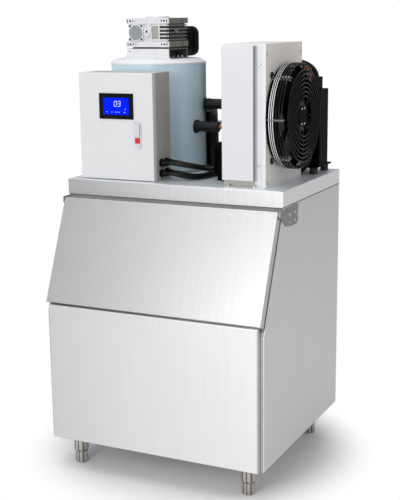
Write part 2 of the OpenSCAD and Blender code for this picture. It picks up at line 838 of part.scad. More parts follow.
module leg_tubes() color("#a9abad") for (p = leg_places) translate([p[0], p[1], 0]) difference() {
    union() {
        translate([0, 0, tube_z]) cylinder(r1 = leg_r - 2, r2 = leg_r, h = 3);
        translate([0, 0, tube_z + 3]) cylinder(r = leg_r, h = leg_h - tube_z - 3);
        translate([-tube_flange / 2, -tube_flange / 2, leg_h - tube_flange_t])
            cube([tube_flange, tube_flange, tube_flange_t]);
    }
    translate([0, 0, tube_z - cut]) cylinder(r = stem_r + run_fit, h = stem_h + 2 * cut);
}

// Screw foot turned from one piece: rounded sole, waist and stem
module foot(i) {
    color("#8d8f91") translate([leg_places[i][0], leg_places[i][1], 0]) rotate_extrude() {
        square([foot_r - 5, foot_h]);
        translate([0, 5]) square([foot_r, foot_h - 9]);
        translate([foot_r - 5, 5]) circle(5);
        translate([0, foot_h - 4]) polygon([[0, 0], [foot_r, 0], [foot_r - 4, 4], [0, 4]]);
        square([stem_r, foot_h + stem_h]);
    }
}

module foot_front_left() foot(0);
module foot_back_left() foot(1);
module foot_front_right() foot(2);
module foot_back_right() foot(3);

module bracket() {
    difference() {
        union() {
            translate([half_w + bracket_t / 2, 0, 0]) along_x(bracket_t) polygon([
                [hinge_y - 6, bin_top - 6], [hinge_y + 142, bin_top - 4], [hinge_y + 144, bin_top - 15],
                [hinge_y + 137, bin_top - 44], [hinge_y + 143, bin_top - 52], [hinge_y + 128, bin_top - 63],
                [hinge_y + 98, bin_top - 64], [hinge_y + 45, bin_top - 59], [hinge_y - 8, hinge_z - 5]
            ]);
            translate([half_w - stud_in, hinge_y, hinge_z]) rotate([0, 90, 0])
                cylinder(r = stud_r, h = stud_in + eps);
        }
        for (s = bracket_screw_spots) translate([half_w - cut, s[0], s[1]]) rotate([0, 90, 0])
            cylinder(r = screw_r + screw_fit, h = bracket_t + 2 * cut);
    }
}

module hinge_brackets() color("#6c6d6f") both_sides() bracket();

module panel_screws() color("#b9bbbe") {
    both_sides() for (s = bracket_screw_spots)
        translate([half_w + bracket_t, s[0], s[1]]) rotate([0, 90, 0]) panel_screw(bracket_t + sheet);
    for (s = cond_face_spots) translate([cond_x1, s[0], deck_top + s[1] * cond_h])
        rotate([0, 90, 0]) panel_screw(bracket_t + sheet);
    for (s = cond_front_spots) translate([cond_front_x, cond_y0, deck_top + s * cond_h])
        rotate([90, 0, 0]) panel_screw(bracket_t + sheet);
    for (x = cond_foot_spots) translate([x, cond_y0 - cover_d / 2, deck_top + cond_foot_t])
        hex_bolt(bolt_r, bolt_h);
    for (a = spoke_pair) translate([cond_x1, fan_y, fan_c]) rotate([a, 0, 0])
        translate([0, eye_at, 0]) rotate([0, 90, 0]) cylinder(r = eye_r - spoke_wire - 0.5, h = 3);
    for (y = adaptor_bolt_ys) translate([gear_x1 - 14, gear_y0 + y, cap_top + adaptor_base])
        hex_bolt(bolt_r, bolt_h);
}

// Lid

module lid_boss(grow) {
    translate([lid_w / 2 - sheet - boss_x - grow, sheet, lid_len - boss_z - grow])
        cube([boss_x + grow, lid_t - sheet - liner_t, boss_z - sheet + grow]);
}

module lid_skin() color(steel) lid_frame() difference() {
    union() {
        tray(lid_w, lid_t, lid_len, sheet, fold_r);
        both_sides() lid_boss(0);
    }
    both_sides() translate([half_w - stud_in - cut, pivot_y, pivot_z]) rotate([0, 90, 0])
        cylinder(r = stud_r + run_fit, h = stud_in + 2 * cut);
}

module lid_foam() color("#f0e6b4") lid_frame() difference() {
    translate([-lid_w / 2 + sheet, sheet, sheet])
        cube([lid_w - 2 * sheet, lid_t - sheet - liner_t, lid_len - 2 * sheet]);
    both_sides() lid_boss(eps);
}

module lid_liner() color("#eef0f0") lid_frame()
    translate([-lid_w / 2 + sheet, lid_t - liner_t, sheet])
        cube([lid_w - 2 * sheet, liner_t, lid_len - 2 * sheet]);

module lid_gasket() color("#4a4b4d") lid_frame() difference() {
    translate([-mouth_w / 2 - gasket_w, lid_t, mouth_edge - gasket_w])
        cube([mouth_w + 2 * gasket_w, gasket_t - frame_t, lid_len - 2 * mouth_edge + 2 * gasket_w]);
    translate([-mouth_w / 2, lid_t - cut, mouth_edge])
        cube([mouth_w, gasket_t + 2 * cut, lid_len - 2 * mouth_edge]);
}

// Ice drum

module on_drum() {
    translate([drum_x, drum_y, 0]) children();
}

module evaporator_jacket() color("#a9c3d6") on_drum() difference() {
    translate([0, 0, jacket_z]) cylinder(r = drum_r, h = drum_h, $fn = 96);
    translate([0, 0, jacket_z - cut]) cylinder(r = drum_r - jacket_t, h = drum_h + 2 * cut, $fn = 96);
}

module evaporator_cylinder() color("#b5b8ba") on_drum() difference() {
    union() {
        translate([0, 0, freeze_z]) cylinder(r = drum_r - jacket_t, h = freeze_flange);
        translate([0, 0, freeze_z]) cylinder(r = freeze_r + freeze_t, h = freeze_top - freeze_z);
    }
    translate([0, 0, freeze_z - cut]) cylinder(r = freeze_r, h = freeze_top - freeze_z + 2 * cut);
}

module drum_cap() color("#eceded") on_drum() difference() {
    rotate_extrude($fn = 96) polygon([
        [0, jacket_top], [drum_r + 1, jacket_top], [drum_r + 1, jacket_top + 5],
        [drum_r - cap_bevel, cap_top], [0, cap_top]
    ]);
    translate([0, 0, jacket_top - cut]) cylinder(r = bearing_r, h = bearing_h + cut);
    translate([0, 0, jacket_top]) cylinder(r = shaft_r + run_fit, h = cap_h + cut);
}

module drum_base() color("#9da0a2") on_drum() difference() {
    union() {
        translate([0, 0, deck_top]) cylinder(r = drum_r + 5, h = base_h, $fn = 96);
        translate([0, 0, jacket_z]) cylinder(r = drum_r - jacket_t, h = base_step, $fn = 96);
    }
    difference() {
        translate([0, 0, deck_top - cut]) cylinder(r = drop_r, h = base_h + base_step + 2 * cut);
        translate([0, 0, deck_top]) cylinder(r = bearing_r + 8, h = spider_h);
        for (a = [90, 210, 330]) rotate(a)
            translate([0, -6, deck_top]) cube([drop_r + 4, 12, spider_h]);
    }
    translate([0, 0, deck_top + 2]) cylinder(r = bearing_r, h = spider_h + cut);
    translate([0, 0, deck_top - cut]) cylinder(r = shaft_r + 2, h = spider_h);
}

module bearing() {
    difference() {
        cylinder(r = bearing_r, h = bearing_h);
        translate([0, 0, -cut]) cylinder(r = shaft_r + run_fit, h = bearing_h + 2 * cut);
    }
}

module shaft_bearings() color("#8b8d90") on_drum() {
    translate([0, 0, deck_top + 2]) bearing();
    translate([0, 0, jacket_top]) bearing();
}

module main_shaft() color("#c2c4c6") on_drum()
    translate([0, 0, deck_top + 4]) cylinder(r = shaft_r, h = gear_z + gear_flange - deck_top - 4);

// Scraper: two arms on hubs carry an upright toothed bar close to the freezing wall
blade_gap = 2;
hub_grip = 9;
arm_w = 18;
bar_w = 16;
module ice_blade() color("#b0b2b5") on_drum() difference() {
    union() {
        for (z = [freeze_z + 30, freeze_top - 60]) translate([0, 0, z]) {
            cylinder(r = shaft_r + hub_grip, h = 26);
            translate([0, -arm_w / 2, 4]) cube([freeze_r - 20, arm_w, arm_w]);
        }
        translate([freeze_r - 12 - bar_w, -bar_w / 2, freeze_z + 14])
            cube([bar_w, bar_w, freeze_top - freeze_z - 40]);
        for (z = [freeze_z + 18:18:freeze_top - 44]) translate([freeze_r - 2 - bar_w, -bar_w / 4, z])
            cube([bar_w - blade_gap, bar_w / 2, 10]);
    }
    translate([0, 0, freeze_z]) cylinder(r = shaft_r, h = freeze_top - freeze_z);
}

pan_r = freeze_r - 40;
pan_h = 26;
pan_t = 4;
module water_pan() color("#b9bcbe") on_drum() translate([0, 0, freeze_top - 22]) difference() {
    union() {
        cylinder(r = pan_r, h = pan_h);
        for (a = [0:60:300]) rotate(a) translate([pan_r - 10, -4, 3]) cube([freeze_r - pan_r + 6, 8, 8]);
    }
    translate([0, 0, pan_t]) difference() {
        cylinder(r = pan_r - pan_t, h = pan_h);
        cylinder(r = shaft_r + hub_grip, h = pan_h);
    }
    translate([0, 0, -cut]) cylinder(r = shaft_r, h = pan_h + 2 * cut);
}

// Gearbox and motor

module gear_block(step, z0, h) {
    translate([gear_x0 + step, gear_y0 + step, z0]) cube([gear_w - 2 * step, gear_d - 2 * step, h]);
}

// Puts a piece drawn upright on the gearbox's front, its back on the core's face
module on_gear_front(x, z) {
    translate([x, gear_y0 + gear_step + eps, z]) rotate([90, 0, 0]) children();
}

module gear_flanges() {
    for (z = [gear_z, gear_top - gear_flange]) {
        gear_block(gear_bar, z, gear_flange);
        for (x = [gear_x0, gear_x1 - gear_boss], y = [gear_y0, gear_y0 + gear_d - gear_boss])
            translate([x, y, z]) cube([gear_boss, gear_boss, gear_flange]);
    }
}

// Cooling fins round the right end, on an upright post
module gear_fins() {
    space = gear_h - 2 * gear_flange;
    for (i = [0:fin_count - 1])
        translate([fin_x0, gear_y0 + 2, gear_z + gear_flange + (i + 0.5) * space / fin_count - fin_t / 2])
            cube([gear_x1 - 2 - fin_x0, gear_d - 4, fin_t]);
    translate([fin_x0 - 5, gear_y0 + 2, gear_z + gear_flange - eps])
        cube([5 + eps, gear_step, space + 2 * eps]);
    translate([gear_x1 - gear_step - eps, gear_y0 + 56, gear_mid_z + 5]) rotate([0, 90, 0])
        cylinder(r = lobe_r + 2, h = gear_step + 2, $fn = 6);
}

// Pad with four lobes round the end cap, a pear lug with its web, and the frame of a plain plate
module gear_front_pads() {
    on_gear_front(gear_cap_x, gear_mid_z) {
        cylinder(r = gear_cap_r + 5, h = gear_step - 2);
        for (x = [-1, 1], z = [-1, 1]) translate([x * lobe_at, z * lobe_at, 0])
            cylinder(r = lobe_r, h = gear_step - 2);
    }
    on_gear_front(lug_x, gear_mid_z + 3) {
        cylinder(r = lug_r, h = gear_step - 1);
        linear_extrude(gear_step - 2) polygon([
            [-8, -7], [2, -19], [12, -5], [18, 6], [plate_x0 - lug_x - 4, 14], [plate_x0 - lug_x, 26],
            [12, 26], [2, 11]
        ]);
    }
    on_gear_front(plate_x0 + plate_w / 2, gear_mid_z) linear_extrude(4)
        square([plate_w + 8, plate_h + 8], center = true);
}

module gearbox_housing() color(alu) difference() {
    union() {
        gear_block(gear_step, gear_z, gear_h);
        gear_flanges();
        gear_fins();
        gear_front_pads();
        translate([motor_x - motor_pad_w / 2, motor_y - gear_step - eps, gear_z])
            cube([motor_pad_w, gear_step + eps, motor_pad_h]);
        translate([drum_x, drum_y, gear_top - eps]) cylinder(r = 38, h = 5);
    }
    translate([gear_cap_x, gear_y0 + 5, gear_mid_z]) rotate([90, 0, 0])
        cylinder(r = gear_cap_r + screw_fit, h = gear_step);
    for (x = [-1, 1], z = [-1, 1])
        translate([gear_cap_x + x * lobe_at, gear_y0 - cut, gear_mid_z + z * lobe_at]) rotate([-90, 0, 0])
            cylinder(r = gear_bolt_r - 1, h = gear_step);
    translate([lug_x, gear_y0 - cut, gear_mid_z + 3]) rotate([-90, 0, 0])
        cylinder(r = gear_bolt_r, h = gear_step + 6);
    translate([plate_x0, gear_y0 + gear_step - 6, gear_mid_z - plate_h / 2]) cube([plate_w, 4, plate_h]);
    for (x = [gear_x0 + gear_boss / 2, gear_x1 - gear_boss / 2], z = [gear_z, gear_top - gear_flange])
        translate([x, gear_y0, z + gear_flange / 2]) {
            translate([0, -cut, 0]) rotate([-90, 0, 0]) cylinder(r = gear_bolt_r, h = 16);
            for (side = [-1, 1]) translate([side * 10 - 1.5, -cut, -4.5]) cube([3, 5, 9]);
        }
    translate([drum_x, drum_y, gear_z - cut]) cylinder(r = shaft_r + run_fit, h = gear_flange + 4);
}

module gearbox_cap() color("#8f9496") translate([gear_cap_x, gear_y0 + 5, gear_mid_z])
    rotate([90, 0, 0]) cylinder(r = gear_cap_r, h = 5);

// Foot between the drum's cap and the gearbox: base plate, body open to the right, recessed neck
adaptor_base = 3;
adaptor_wall = 8;
neck_h = 5;
neck_in = 16;
module gearbox_adaptor() color("#d2d0cc") difference() {
    union() {
        translate([gear_x0 - 10, gear_y0 + 2, cap_top]) cube([gear_w + 14, gear_d - 4, adaptor_base]);
        translate([gear_x0 + 2, gear_y0 + 2, cap_top]) cube([gear_w - 4, gear_d - 4, adaptor_h - neck_h]);
        translate([gear_x0 + neck_in, gear_y0 + neck_in, gear_z - neck_h - eps])
            cube([gear_w - 2 * neck_in, gear_d - 2 * neck_in, neck_h + eps]);
        translate([gear_x0 - 10 + eps, gear_y0 + 2 + adaptor_wall, cap_top]) rotate([90, 0, 0])
            linear_extrude(adaptor_wall) polygon([[0, 0], [13, 0], [13, 20]]);
    }
    translate([gear_x1 - 44, gear_y0 + 2 + adaptor_wall, cap_top + adaptor_base])
        cube([60, gear_d - 4 - 2 * adaptor_wall, adaptor_h - neck_h - adaptor_base - 4]);
    translate([gear_x0 + 12, gear_y0, cap_top + 24]) rotate([-90, 0, 0])
        cylinder(r = gear_bolt_r - 0.5, h = adaptor_wall);
    translate([drum_x, drum_y, cap_top - cut]) cylinder(r = shaft_r + run_fit, h = adaptor_h + 2 * cut);
}

// Square motor frame with cooling grooves along it, and its fan cowl
groove_w = 4;
groove_pitch = 10;
module drive_motor() color(black) translate([motor_x, motor_y, motor_z]) difference() {
    along_y(motor_len) round_rect(2 * motor_r - 4, 2 * motor_r - 4, motor_corner);
    for (i = [-2:2], s = [-1, 1]) {
        translate([s * (motor_r - 2) - 3, 8, i * groove_pitch - groove_w / 2])
            cube([6, motor_len, groove_w]);
        translate([i * groove_pitch - groove_w / 2, 8, s * (motor_r - 2) - 3])
            cube([groove_w, motor_len, 6]);
    }
}

module motor_cowl() color(black) translate([motor_x, motor_y + motor_len, motor_z]) difference() {
    along_y(cowl_len) round_rect(2 * motor_r, 2 * motor_r, motor_corner + 2);
    for (i = [-3:3]) translate([-motor_r * 0.6, cowl_len - 3, i * groove_pitch - groove_w / 2])
        cube([motor_r * 1.2, 3 + cut, groove_w]);
}

// Control box

module control_box() color("#85847d") difference() {
    translate([box_x - box_w / 2, box_y, deck_top]) cube([box_w, box_d, box_h]);
    translate([box_x - box_w / 2 + box_t, box_y + box_t, deck_top + box_t])
        cube([box_w - 2 * box_t, box_d - 2 * box_t, box_h - 2 * box_t]);
    translate([box_x - box_w / 2 + box_lip, box_y - cut, deck_top + box_lip])
        cube([box_w - 2 * box_lip, box_t + 2 * cut, box_h - 2 * box_lip]);
    for (y = gland_ys, z = gland_zs) translate([gland_x - box_t - cut, y, z]) rotate([0, 90, 0])
        cylinder(r = gland_r - 2 + screw_fit, h = box_t + 2 * cut);
}

module at_door() {
    translate([box_x, door_y, door_z]) children();
}

module control_door() color("#e4e4e8") {
    difference() {
        union() {
            at_door() tray(door_w, door_d, door_h, box_t, door_r);
            for (z = hinge_zs, s = [-1, 1])
                translate([hinge_pin_x, hinge_pin_y, z + s * (leaf_h / 2 + move_gap + knuckle_h / 2)])
                    translate([-knuckle_w + box_t, -door_d / 2 + box_t, -knuckle_h / 2])
                        cube([2 * knuckle_w, door_d / 2 + knuckle_w - box_t, knuckle_h]);
        }
        for (z = hinge_zs) {
            translate([hinge_pin_x, hinge_pin_y, z - leaf_h / 2 - knuckle_h - 2])
                cylinder(r = pin_r + run_fit, h = leaf_h + 2 * knuckle_h + 4);
            translate([door_x0 - cut, door_y + 4, z - leaf_h / 2 - move_gap])
                cube([cut + box_t + 2 * eps, door_d, leaf_h + 2 * move_gap]);
        }
        translate([bezel_x - bezel_w / 2 + 6, door_y - cut, bezel_z - bezel_h / 2 + 6])
            cube([bezel_w - 12, box_t + 2 * cut, bezel_h - 12]);
        translate([latch_x, door_y - cut, button_z]) rotate([-90, 0, 0])
            cylinder(r = button_r + 1, h = box_t + 2 * cut);
    }
}

// Leaf on the box's front flange and the pin through it
module door_hinges() color("#8b8d90") for (z = hinge_zs) {
    translate([hinge_pin_x, hinge_pin_y, z - leaf_h / 2 - knuckle_h - 1])
        cylinder(r = pin_r, h = leaf_h + 2 * knuckle_h + 2);
    translate([hinge_pin_x - leaf_t / 2, hinge_pin_y, z - leaf_h / 2])
        cube([leaf_t, box_y - hinge_pin_y, leaf_h]);
    translate([hinge_pin_x - leaf_t / 2, box_y - 2, z - leaf_h / 2]) cube([box_lip - 4, 2, leaf_h]);
}

module screen_bezel() color(black) translate([bezel_x, door_y - bezel_out, bezel_z]) difference() {
    union() {
        translate([0, 0, -bezel_h / 2]) soft_block(bezel_w, bezel_out, bezel_h, bezel_out / 2);
        translate([-bezel_w / 2 + 7, bezel_out - eps, -bezel_h / 2 + 7])
            cube([bezel_w - 14, bezel_deep - bezel_out, bezel_h - 14]);
    }
    translate([-lcd_w / 2, -cut, -lcd_h / 2]) cube([lcd_w, cut + lcd_sink + lcd_t, lcd_h]);
}

module screen_lcd() color("#1436ff")
    translate([bezel_x - lcd_w / 2, door_y - bezel_out + lcd_sink, bezel_z - lcd_h / 2])
        cube([lcd_w, lcd_t, lcd_h]);

module latch_plate() color("#d4d4dc") translate([latch_x, door_y - latch_out, latch_z]) difference() {
    along_y(latch_out) oblong(latch_w, latch_h);
    translate([0, -cut, button_z - latch_z]) rotate([-90, 0, 0])
        cylinder(r = button_r + move_gap, h = latch_out + 2 * cut);
    translate([-handle_w / 2 - 1, -cut, handle_z - latch_z - handle_h])
        cube([handle_w + 2, 2 + cut, handle_h + 1]);
    translate([-handle_w / 2 - 3, handle_pin_r - 0.4, handle_z - latch_z - 4]) rotate([0, 90, 0])
        cylinder(r = handle_pin_r + run_fit, h = handle_w + 6);
}

// Flip handle with its cross pin at the top
module latch_handle() color("#c6c6d0") translate([latch_x, door_y - latch_out, handle_z - 4]) {
    difference() {
        translate([-handle_w / 2, 1.6 - handle_out, -handle_h + 5])
            cube([handle_w, handle_out, handle_h - 6]);
        translate([-handle_w / 2 - cut, 1.6 - handle_out - cut, -handle_h + 4])
            cube([handle_w + 2 * cut, 2, 8]);
    }
    translate([-handle_w / 2 - 2.6, handle_pin_r - 0.4, 0]) rotate([0, 90, 0])
        cylinder(r = handle_pin_r, h = handle_w + 5.2);
}

module latch_button() color("#c81e28") translate([latch_x, door_y - latch_out - button_out, button_z])
    rotate([-90, 0, 0]) {
        cylinder(r = button_r, h = latch_out + button_out);
        translate([0, 0, latch_out + button_out - eps]) cylinder(r = 4, h = 6);
    }

// Rails on the box's back with the contactors and breakers on them
module switchgear() color("#3a3c40") {
    back = box_y1 - box_t;
    rail_w = box_w * 0.81;
    device_w = box_w * 0.16;
    device_h = box_h * 0.2;
    for (z = [deck_top + box_h * 0.33, deck_top + box_h * 0.7]) {
        translate([box_x - rail_w / 2, back - rail_d, z - device_h / 4])
            cube([rail_w, rail_d, device_h / 2]);
        for (i = [0:3])
            translate([box_x + (i / 4 - 0.47) * rail_w, back - rail_d - device_d, z - device_h / 2]) {
                cube([device_w, device_d, device_h]);
                translate([device_w * 0.2, -rail_d, device_h * 0.2])
                    cube([device_w * 0.6, rail_d + eps, device_h * 0.6]);
            }
    }
}

module cable_glands() color(black) for (y = gland_ys, z = gland_zs)
    translate([gland_x, y, z]) rotate([0, 90, 0]) difference() {
        union() {
            translate([0, 0, -box_t - 4]) cylinder(r = gland_r - 2, h = 8);
            translate([0, 0, -box_t - 6]) cylinder(r = gland_r, h = 6, $fn = 6);
            cylinder(r = gland_r + 2, h = 8, $fn = 6);
            translate([0, 0, 8 - eps]) cylinder(r1 = gland_r, r2 = gland_r - 3, h = gland_len - 8);
        }
        translate([0, 0, -gland_len]) cylinder(r = cable_r, h = 2 * gland_len + cut);
    }

module control_cables() color(black)
    for (route = cable_routes) cord(curve(route, cable_steps), cable_r - 0.05, cable_sides);

// Condenser

module condenser_casing() color("#dcdad6") difference() {
    union() {
        translate([cond_x0, cond_y0, deck_top]) cube([cond_w, cond_d, cond_h]);
        translate([cond_x0, cond_y0 - cover_d, deck_top]) cube([cond_w, cover_d + eps, cond_foot_t]);
    }
    translate([cond_x0 + cond_t, cond_y0 + cond_t, deck_top + cond_t])
        cube([cond_w - 2 * cond_t, cond_d - 2 * cond_t, cond_h - 2 * cond_t]);
    translate([cond_x0 - cut, cond_y0 + cond_lip, deck_top + cond_lip])
        cube([cond_t + 2 * cut, cond_d - 2 * cond_lip, cond_h - 2 * cond_lip]);
    translate([cond_x1 - cond_t - cut, fan_y, fan_c]) rotate([0, 90, 0])
        cylinder(r = fan_hole_r, h = cond_t + 2 * cut, $fn = 96);
    for (s = cond_face_spots) translate([cond_x1 - cond_t - cut, s[0], deck_top + s[1] * cond_h])
        rotate([0, 90, 0]) cylinder(r = screw_r + screw_fit, h = cond_t + 2 * cut);
    for (s = cond_front_spots) translate([cond_front_x, cond_y0 - cut, deck_top + s * cond_h])
        rotate([-90, 0, 0]) cylinder(r = screw_r + screw_fit, h = cond_t + 2 * cut);
}

module front_cover() color(white)
    translate([cover_x0 + cover_w / 2, cond_y0 - cover_d, cover_z])
        tray(cover_w, cover_d, cover_h, cond_t, fold_r);

// Finned block between two end plates, drawn in plan as a comb and carried up
module condenser_coil() color("#b4b6b8") {
    y0 = cond_y0 + coil_end;
    y1 = cond_y1 - coil_end;
    count = floor((y1 - y0 - 4) / fin_pitch);
    z0 = deck_top + cond_t;
    translate([coil_x0 + 6, y0, z0 + coil_lift]) cube([coil_w - 12, y1 - y0, cond_h - 2 * coil_lift]);
    for (y = [y0, y1 - 2]) translate([coil_x0, y, z0]) cube([coil_w, 2, cond_h - 2 * cond_t]);
    for (i = [1:count]) translate([coil_x0, y0 + i * fin_pitch, z0 + coil_lift])
        cube([coil_w, 1.2, cond_h - 2 * coil_lift]);
}

// Fan

module guard_ring(r, x) {
    translate([x, fan_y, fan_c]) rotate([0, 90, 0]) rotate_extrude($fn = 96)
        translate([r, 0]) circle(ring_wire, $fn = 24);
}

// One spoke: from the casing along the rim, round a bend and in to the middle plate
module guard_spoke(a, x0) {
    translate([0, fan_y, fan_c]) rotate([a, 0, 0])
        bent_bar([[x0, spoke_r, 0], [face_x, spoke_r, 0], [face_x, plate_r - 6, 0]],
            spoke_wire, spoke_bend, $fn = 24);
}

module fan_guard() color("#2a2b2d") {
    for (d = concat(base_rings, side_rings)) guard_ring(guard_r, cond_x1 + d);
    for (r = [guard_r - ring_pitch * 1.5:-ring_pitch:plate_r + 10]) guard_ring(r, guard_x - ring_wire);
    for (a = spoke_single) guard_spoke(a, cond_x1 + base_rings[0] - 8);
    for (a = spoke_pair, s = [-1, 1]) guard_spoke(a + s * pair_half, cond_x1);
    for (a = spoke_pair) translate([cond_x1 + spoke_wire, fan_y, fan_c]) rotate([a, 0, 0])
        translate([0, eye_at, 0]) rotate([0, 90, 0])
            rotate_extrude($fn = 48) translate([eye_r, 0]) circle(spoke_wire, $fn = 24);
    difference() {
        translate([motor_plate_x, fan_y, fan_c]) rotate([0, 90, 0]) cylinder(r = plate_r, h = plate_t);
        translate([motor_plate_x - cut, fan_y, fan_c]) rotate([0, 90, 0])
            cylinder(r = hub_r - 14, h = plate_t + 2 * cut);
    }
}

// Stator plate on the guard and the fixed shaft that the rotor runs on
module fan_motor() color("#3a3c3e") translate([0, fan_y, fan_c]) rotate([0, 90, 0]) {
    translate([0, 0, hub_x1 + 1]) cylinder(r = hub_r - 4, h = motor_plate_x - hub_x1 - 1);
    translate([0, 0, motor_plate_x - eps]) cylinder(r = hub_r - 14 - screw_fit, h = plate_t + 3);
    translate([0, 0, hub_x0 + 4]) cylinder(r = fan_shaft_r, h = hub_x1 + 1 - hub_x0 - 4 + eps);
}

// Stamped blade: a curved plate pitched on the hub, trimmed to a sickle outline
blade_t = 2;
blade_curve = 200;
blade_pitch = 18;
blade_chord = 64;
module fan_blade() {
    intersection() {
        translate([blade_x, hub_r - 4, 0]) rotate([-90, 0, 0]) linear_extrude(blade_r - hub_r + 4)
            rotate(90 - blade_pitch) translate([0, -blade_curve]) difference() {
                circle(blade_curve + blade_t / 2, $fn = 96);
                circle(blade_curve - blade_t / 2, $fn = 96);
                translate([-blade_curve * 2, -blade_curve * 2])
                    square([blade_curve * 4,
                        blade_curve * 2 + sqrt(pow(blade_curve, 2) - pow(blade_chord, 2))]);
            }
        translate([hub_x0 - 40, 0, 0]) rotate([90, 0, 90]) linear_extrude(140) intersection() {
            circle(blade_r, $fn = 96);
            polygon([[0, -14], [hub_r, -26], [blade_r * 0.8, -66], [blade_r * 1.2, -56],
                [blade_r * 1.2, 66], [blade_r * 0.8, 46], [hub_r, 24], [0, 14]]);
        }
    }
}

module fan_rotor() color("#17181a") translate([0, fan_y, fan_c]) difference() {
    union() {
        translate([hub_x0, 0, 0]) rotate([0, 90, 0]) cylinder(r = hub_r, h = hub_x1 - hub_x0);
        for (i = [0:blade_count - 1]) rotate([i * 360 / blade_count, 0, 0]) fan_blade();
    }
    translate([hub_x0 + 3, 0, 0]) rotate([0, 90, 0])
        cylinder(r = fan_shaft_r + run_fit, h = hub_x1 - hub_x0);
}

// Refrigeration

comp_dome = 62;
module compressor() color(black) {
    translate([comp_x, comp_y, comp_z]) rotate_extrude() {
        translate([0, 10]) square([comp_r, comp_h - comp_dome - 10]);
        intersection() {
            translate([0, comp_h - comp_dome]) scale([comp_r / comp_dome, 1]) circle(comp_dome);
            translate([0, comp_h - comp_dome - 1]) square([comp_r, comp_dome + 2]);
        }
        square([comp_r - 10, 12]);
        translate([0, comp_h * 0.45]) square([comp_r + 2.5, 9]);
    }
    translate([out_x0, comp_y, out_top]) rotate([90, 0, 0]) cylinder(r = pipe_r + 3, h = comp_y - out_y0);
    translate([comp_x, comp_y, high_port[1]]) rotate([0, -90, 0])
        cylinder(r = hose_r - 4, h = comp_r + stub_out);
    translate([comp_foot_x - comp_foot_w / 2, comp_y - comp_foot_d / 2, comp_z - comp_foot_t])
        cube([comp_foot_w, comp_foot_d, comp_foot_t + eps]);
    translate([comp_x + comp_r - 14, term_y, comp_z])
        cube([term_x1 - comp_x - comp_r + 14, term_w, term_h]);
    translate([comp_x + comp_r - 14, term_y + 8, comp_z + term_h - eps])
        cube([lead_box_w, term_w - 16, lead_box_h]);
}

module compressor_grommets() color("#2a2a2a")
    for (x = [-1, 1], y = [-1, 1])
        translate([comp_foot_x + x * (comp_foot_w / 2 - grommet_in),
            comp_y + y * (comp_foot_d / 2 - grommet_in), deck_top]) cylinder(r = grommet_r, h = grommet_h);

module receiver() color(black) {
    translate([recv_x, recv_y, recv_z]) {
        translate([0, 0, tank_r / 2]) cylinder(r = tank_r, h = tank_h - tank_r);
        for (z = [tank_r / 2, tank_h - tank_r / 2]) translate([0, 0, z])
            rotate_extrude() intersection() {
                scale([2, 1]) circle(tank_r / 2);
                translate([0, -tank_r]) square([tank_r, 2 * tank_r]);
            }
        translate([0, 0, tank_h - 4]) cylinder(r = 11, h = 16, $fn = 6);
    }
    translate([recv_x, recv_y, deck_top]) cylinder(r = tank_r * 0.7, h = 12);
}

// Liquid line from the drum to the receiver, discharge line from the compressor to the condenser,
// and the bends at the coil's ends
module copper_pipes() color(copper) {
    top = recv_z + tank_h + 12;
    bent_bar([[low_x1, low_port[0], low_port[1]], [recv_x, low_port[0], low_port[1]],
        [recv_x, recv_y, low_port[1]], [recv_x, recv_y, top]], pipe_r, 12);
    bent_bar(out_route, pipe_r, 12);
    for (i = [0:tube_rows - 1], y = [cond_y0 + coil_end, cond_y1 - coil_end])
        translate([coil_x0 + coil_w / 2, y, deck_top + coil_lift + coil_row + i * bend_pitch])
            rotate([0, 0, y < cond_yc ? 180 : 0]) rotate_extrude(angle = 180)
                translate([hairpin_r, 0]) circle(hairpin_wire);
}

module port_collar(p, x) {
    translate([x, p[0], p[1]]) rotate([0, 90, 0]) {
        cylinder(r = port_r, h = port_t);
        translate([0, 0, port_t - eps]) cylinder(r1 = port_r - 2, r2 = hose_r + 1.5, h = port_flare);
    }
}

module insulated_pipes() color(black) difference() {
    union() {
        bent_bar(high_route, hose_r, 34);
        rod([low_x0 - 6, low_port[0], low_port[1]], [low_x1, low_port[0], low_port[1]], hose_r);
        port_collar(high_port, drum_x + drum_r - 8);
        port_collar(low_port, drum_x + drum_r - 7);
    }
    on_drum() translate([0, 0, jacket_z]) cylinder(r = drum_r + 0.05, h = drum_h, $fn = 96);
}

// Water

module water_tank() color("#e8ebed") translate([water_x, water_y, deck_top]) difference() {
    union() {
        cube([water_w, water_d, water_h]);
        translate([probe_x - water_x, eps, probe_z - deck_top]) rotate([90, 0, 0])
            cylinder(r = probe_r, h = probe_out + eps);
    }
    translate([water_t, water_t, water_t]) cube([water_w - 2 * water_t, water_d - 2 * water_t, water_h]);
}

module water_pump() color("#2f4f7a") translate([pump_x, pump_y, deck_top + water_h]) {
    translate([-20, -water_d / 2, 0]) cube([40, water_d, 4]);
    translate([0, 0, 4 - eps]) cylinder(r = pump_r, h = pump_h);
    translate([0, 0, -water_h * 0.6]) cylinder(r = 8, h = water_h * 0.6 + eps);
    translate([-pump_r - 10, 0, hose_lift]) rotate([0, 90, 0]) cylinder(r = water_pipe_r, h = 14);
    translate([0, 0, plug_z - deck_top - water_h]) rotate([90, 0, 0])
        cylinder(r = plug_r, h = pump_y - plug_y);
}

module water_pipe() color("#d8dcde") bent_bar(water_route, water_pipe_r, 12);

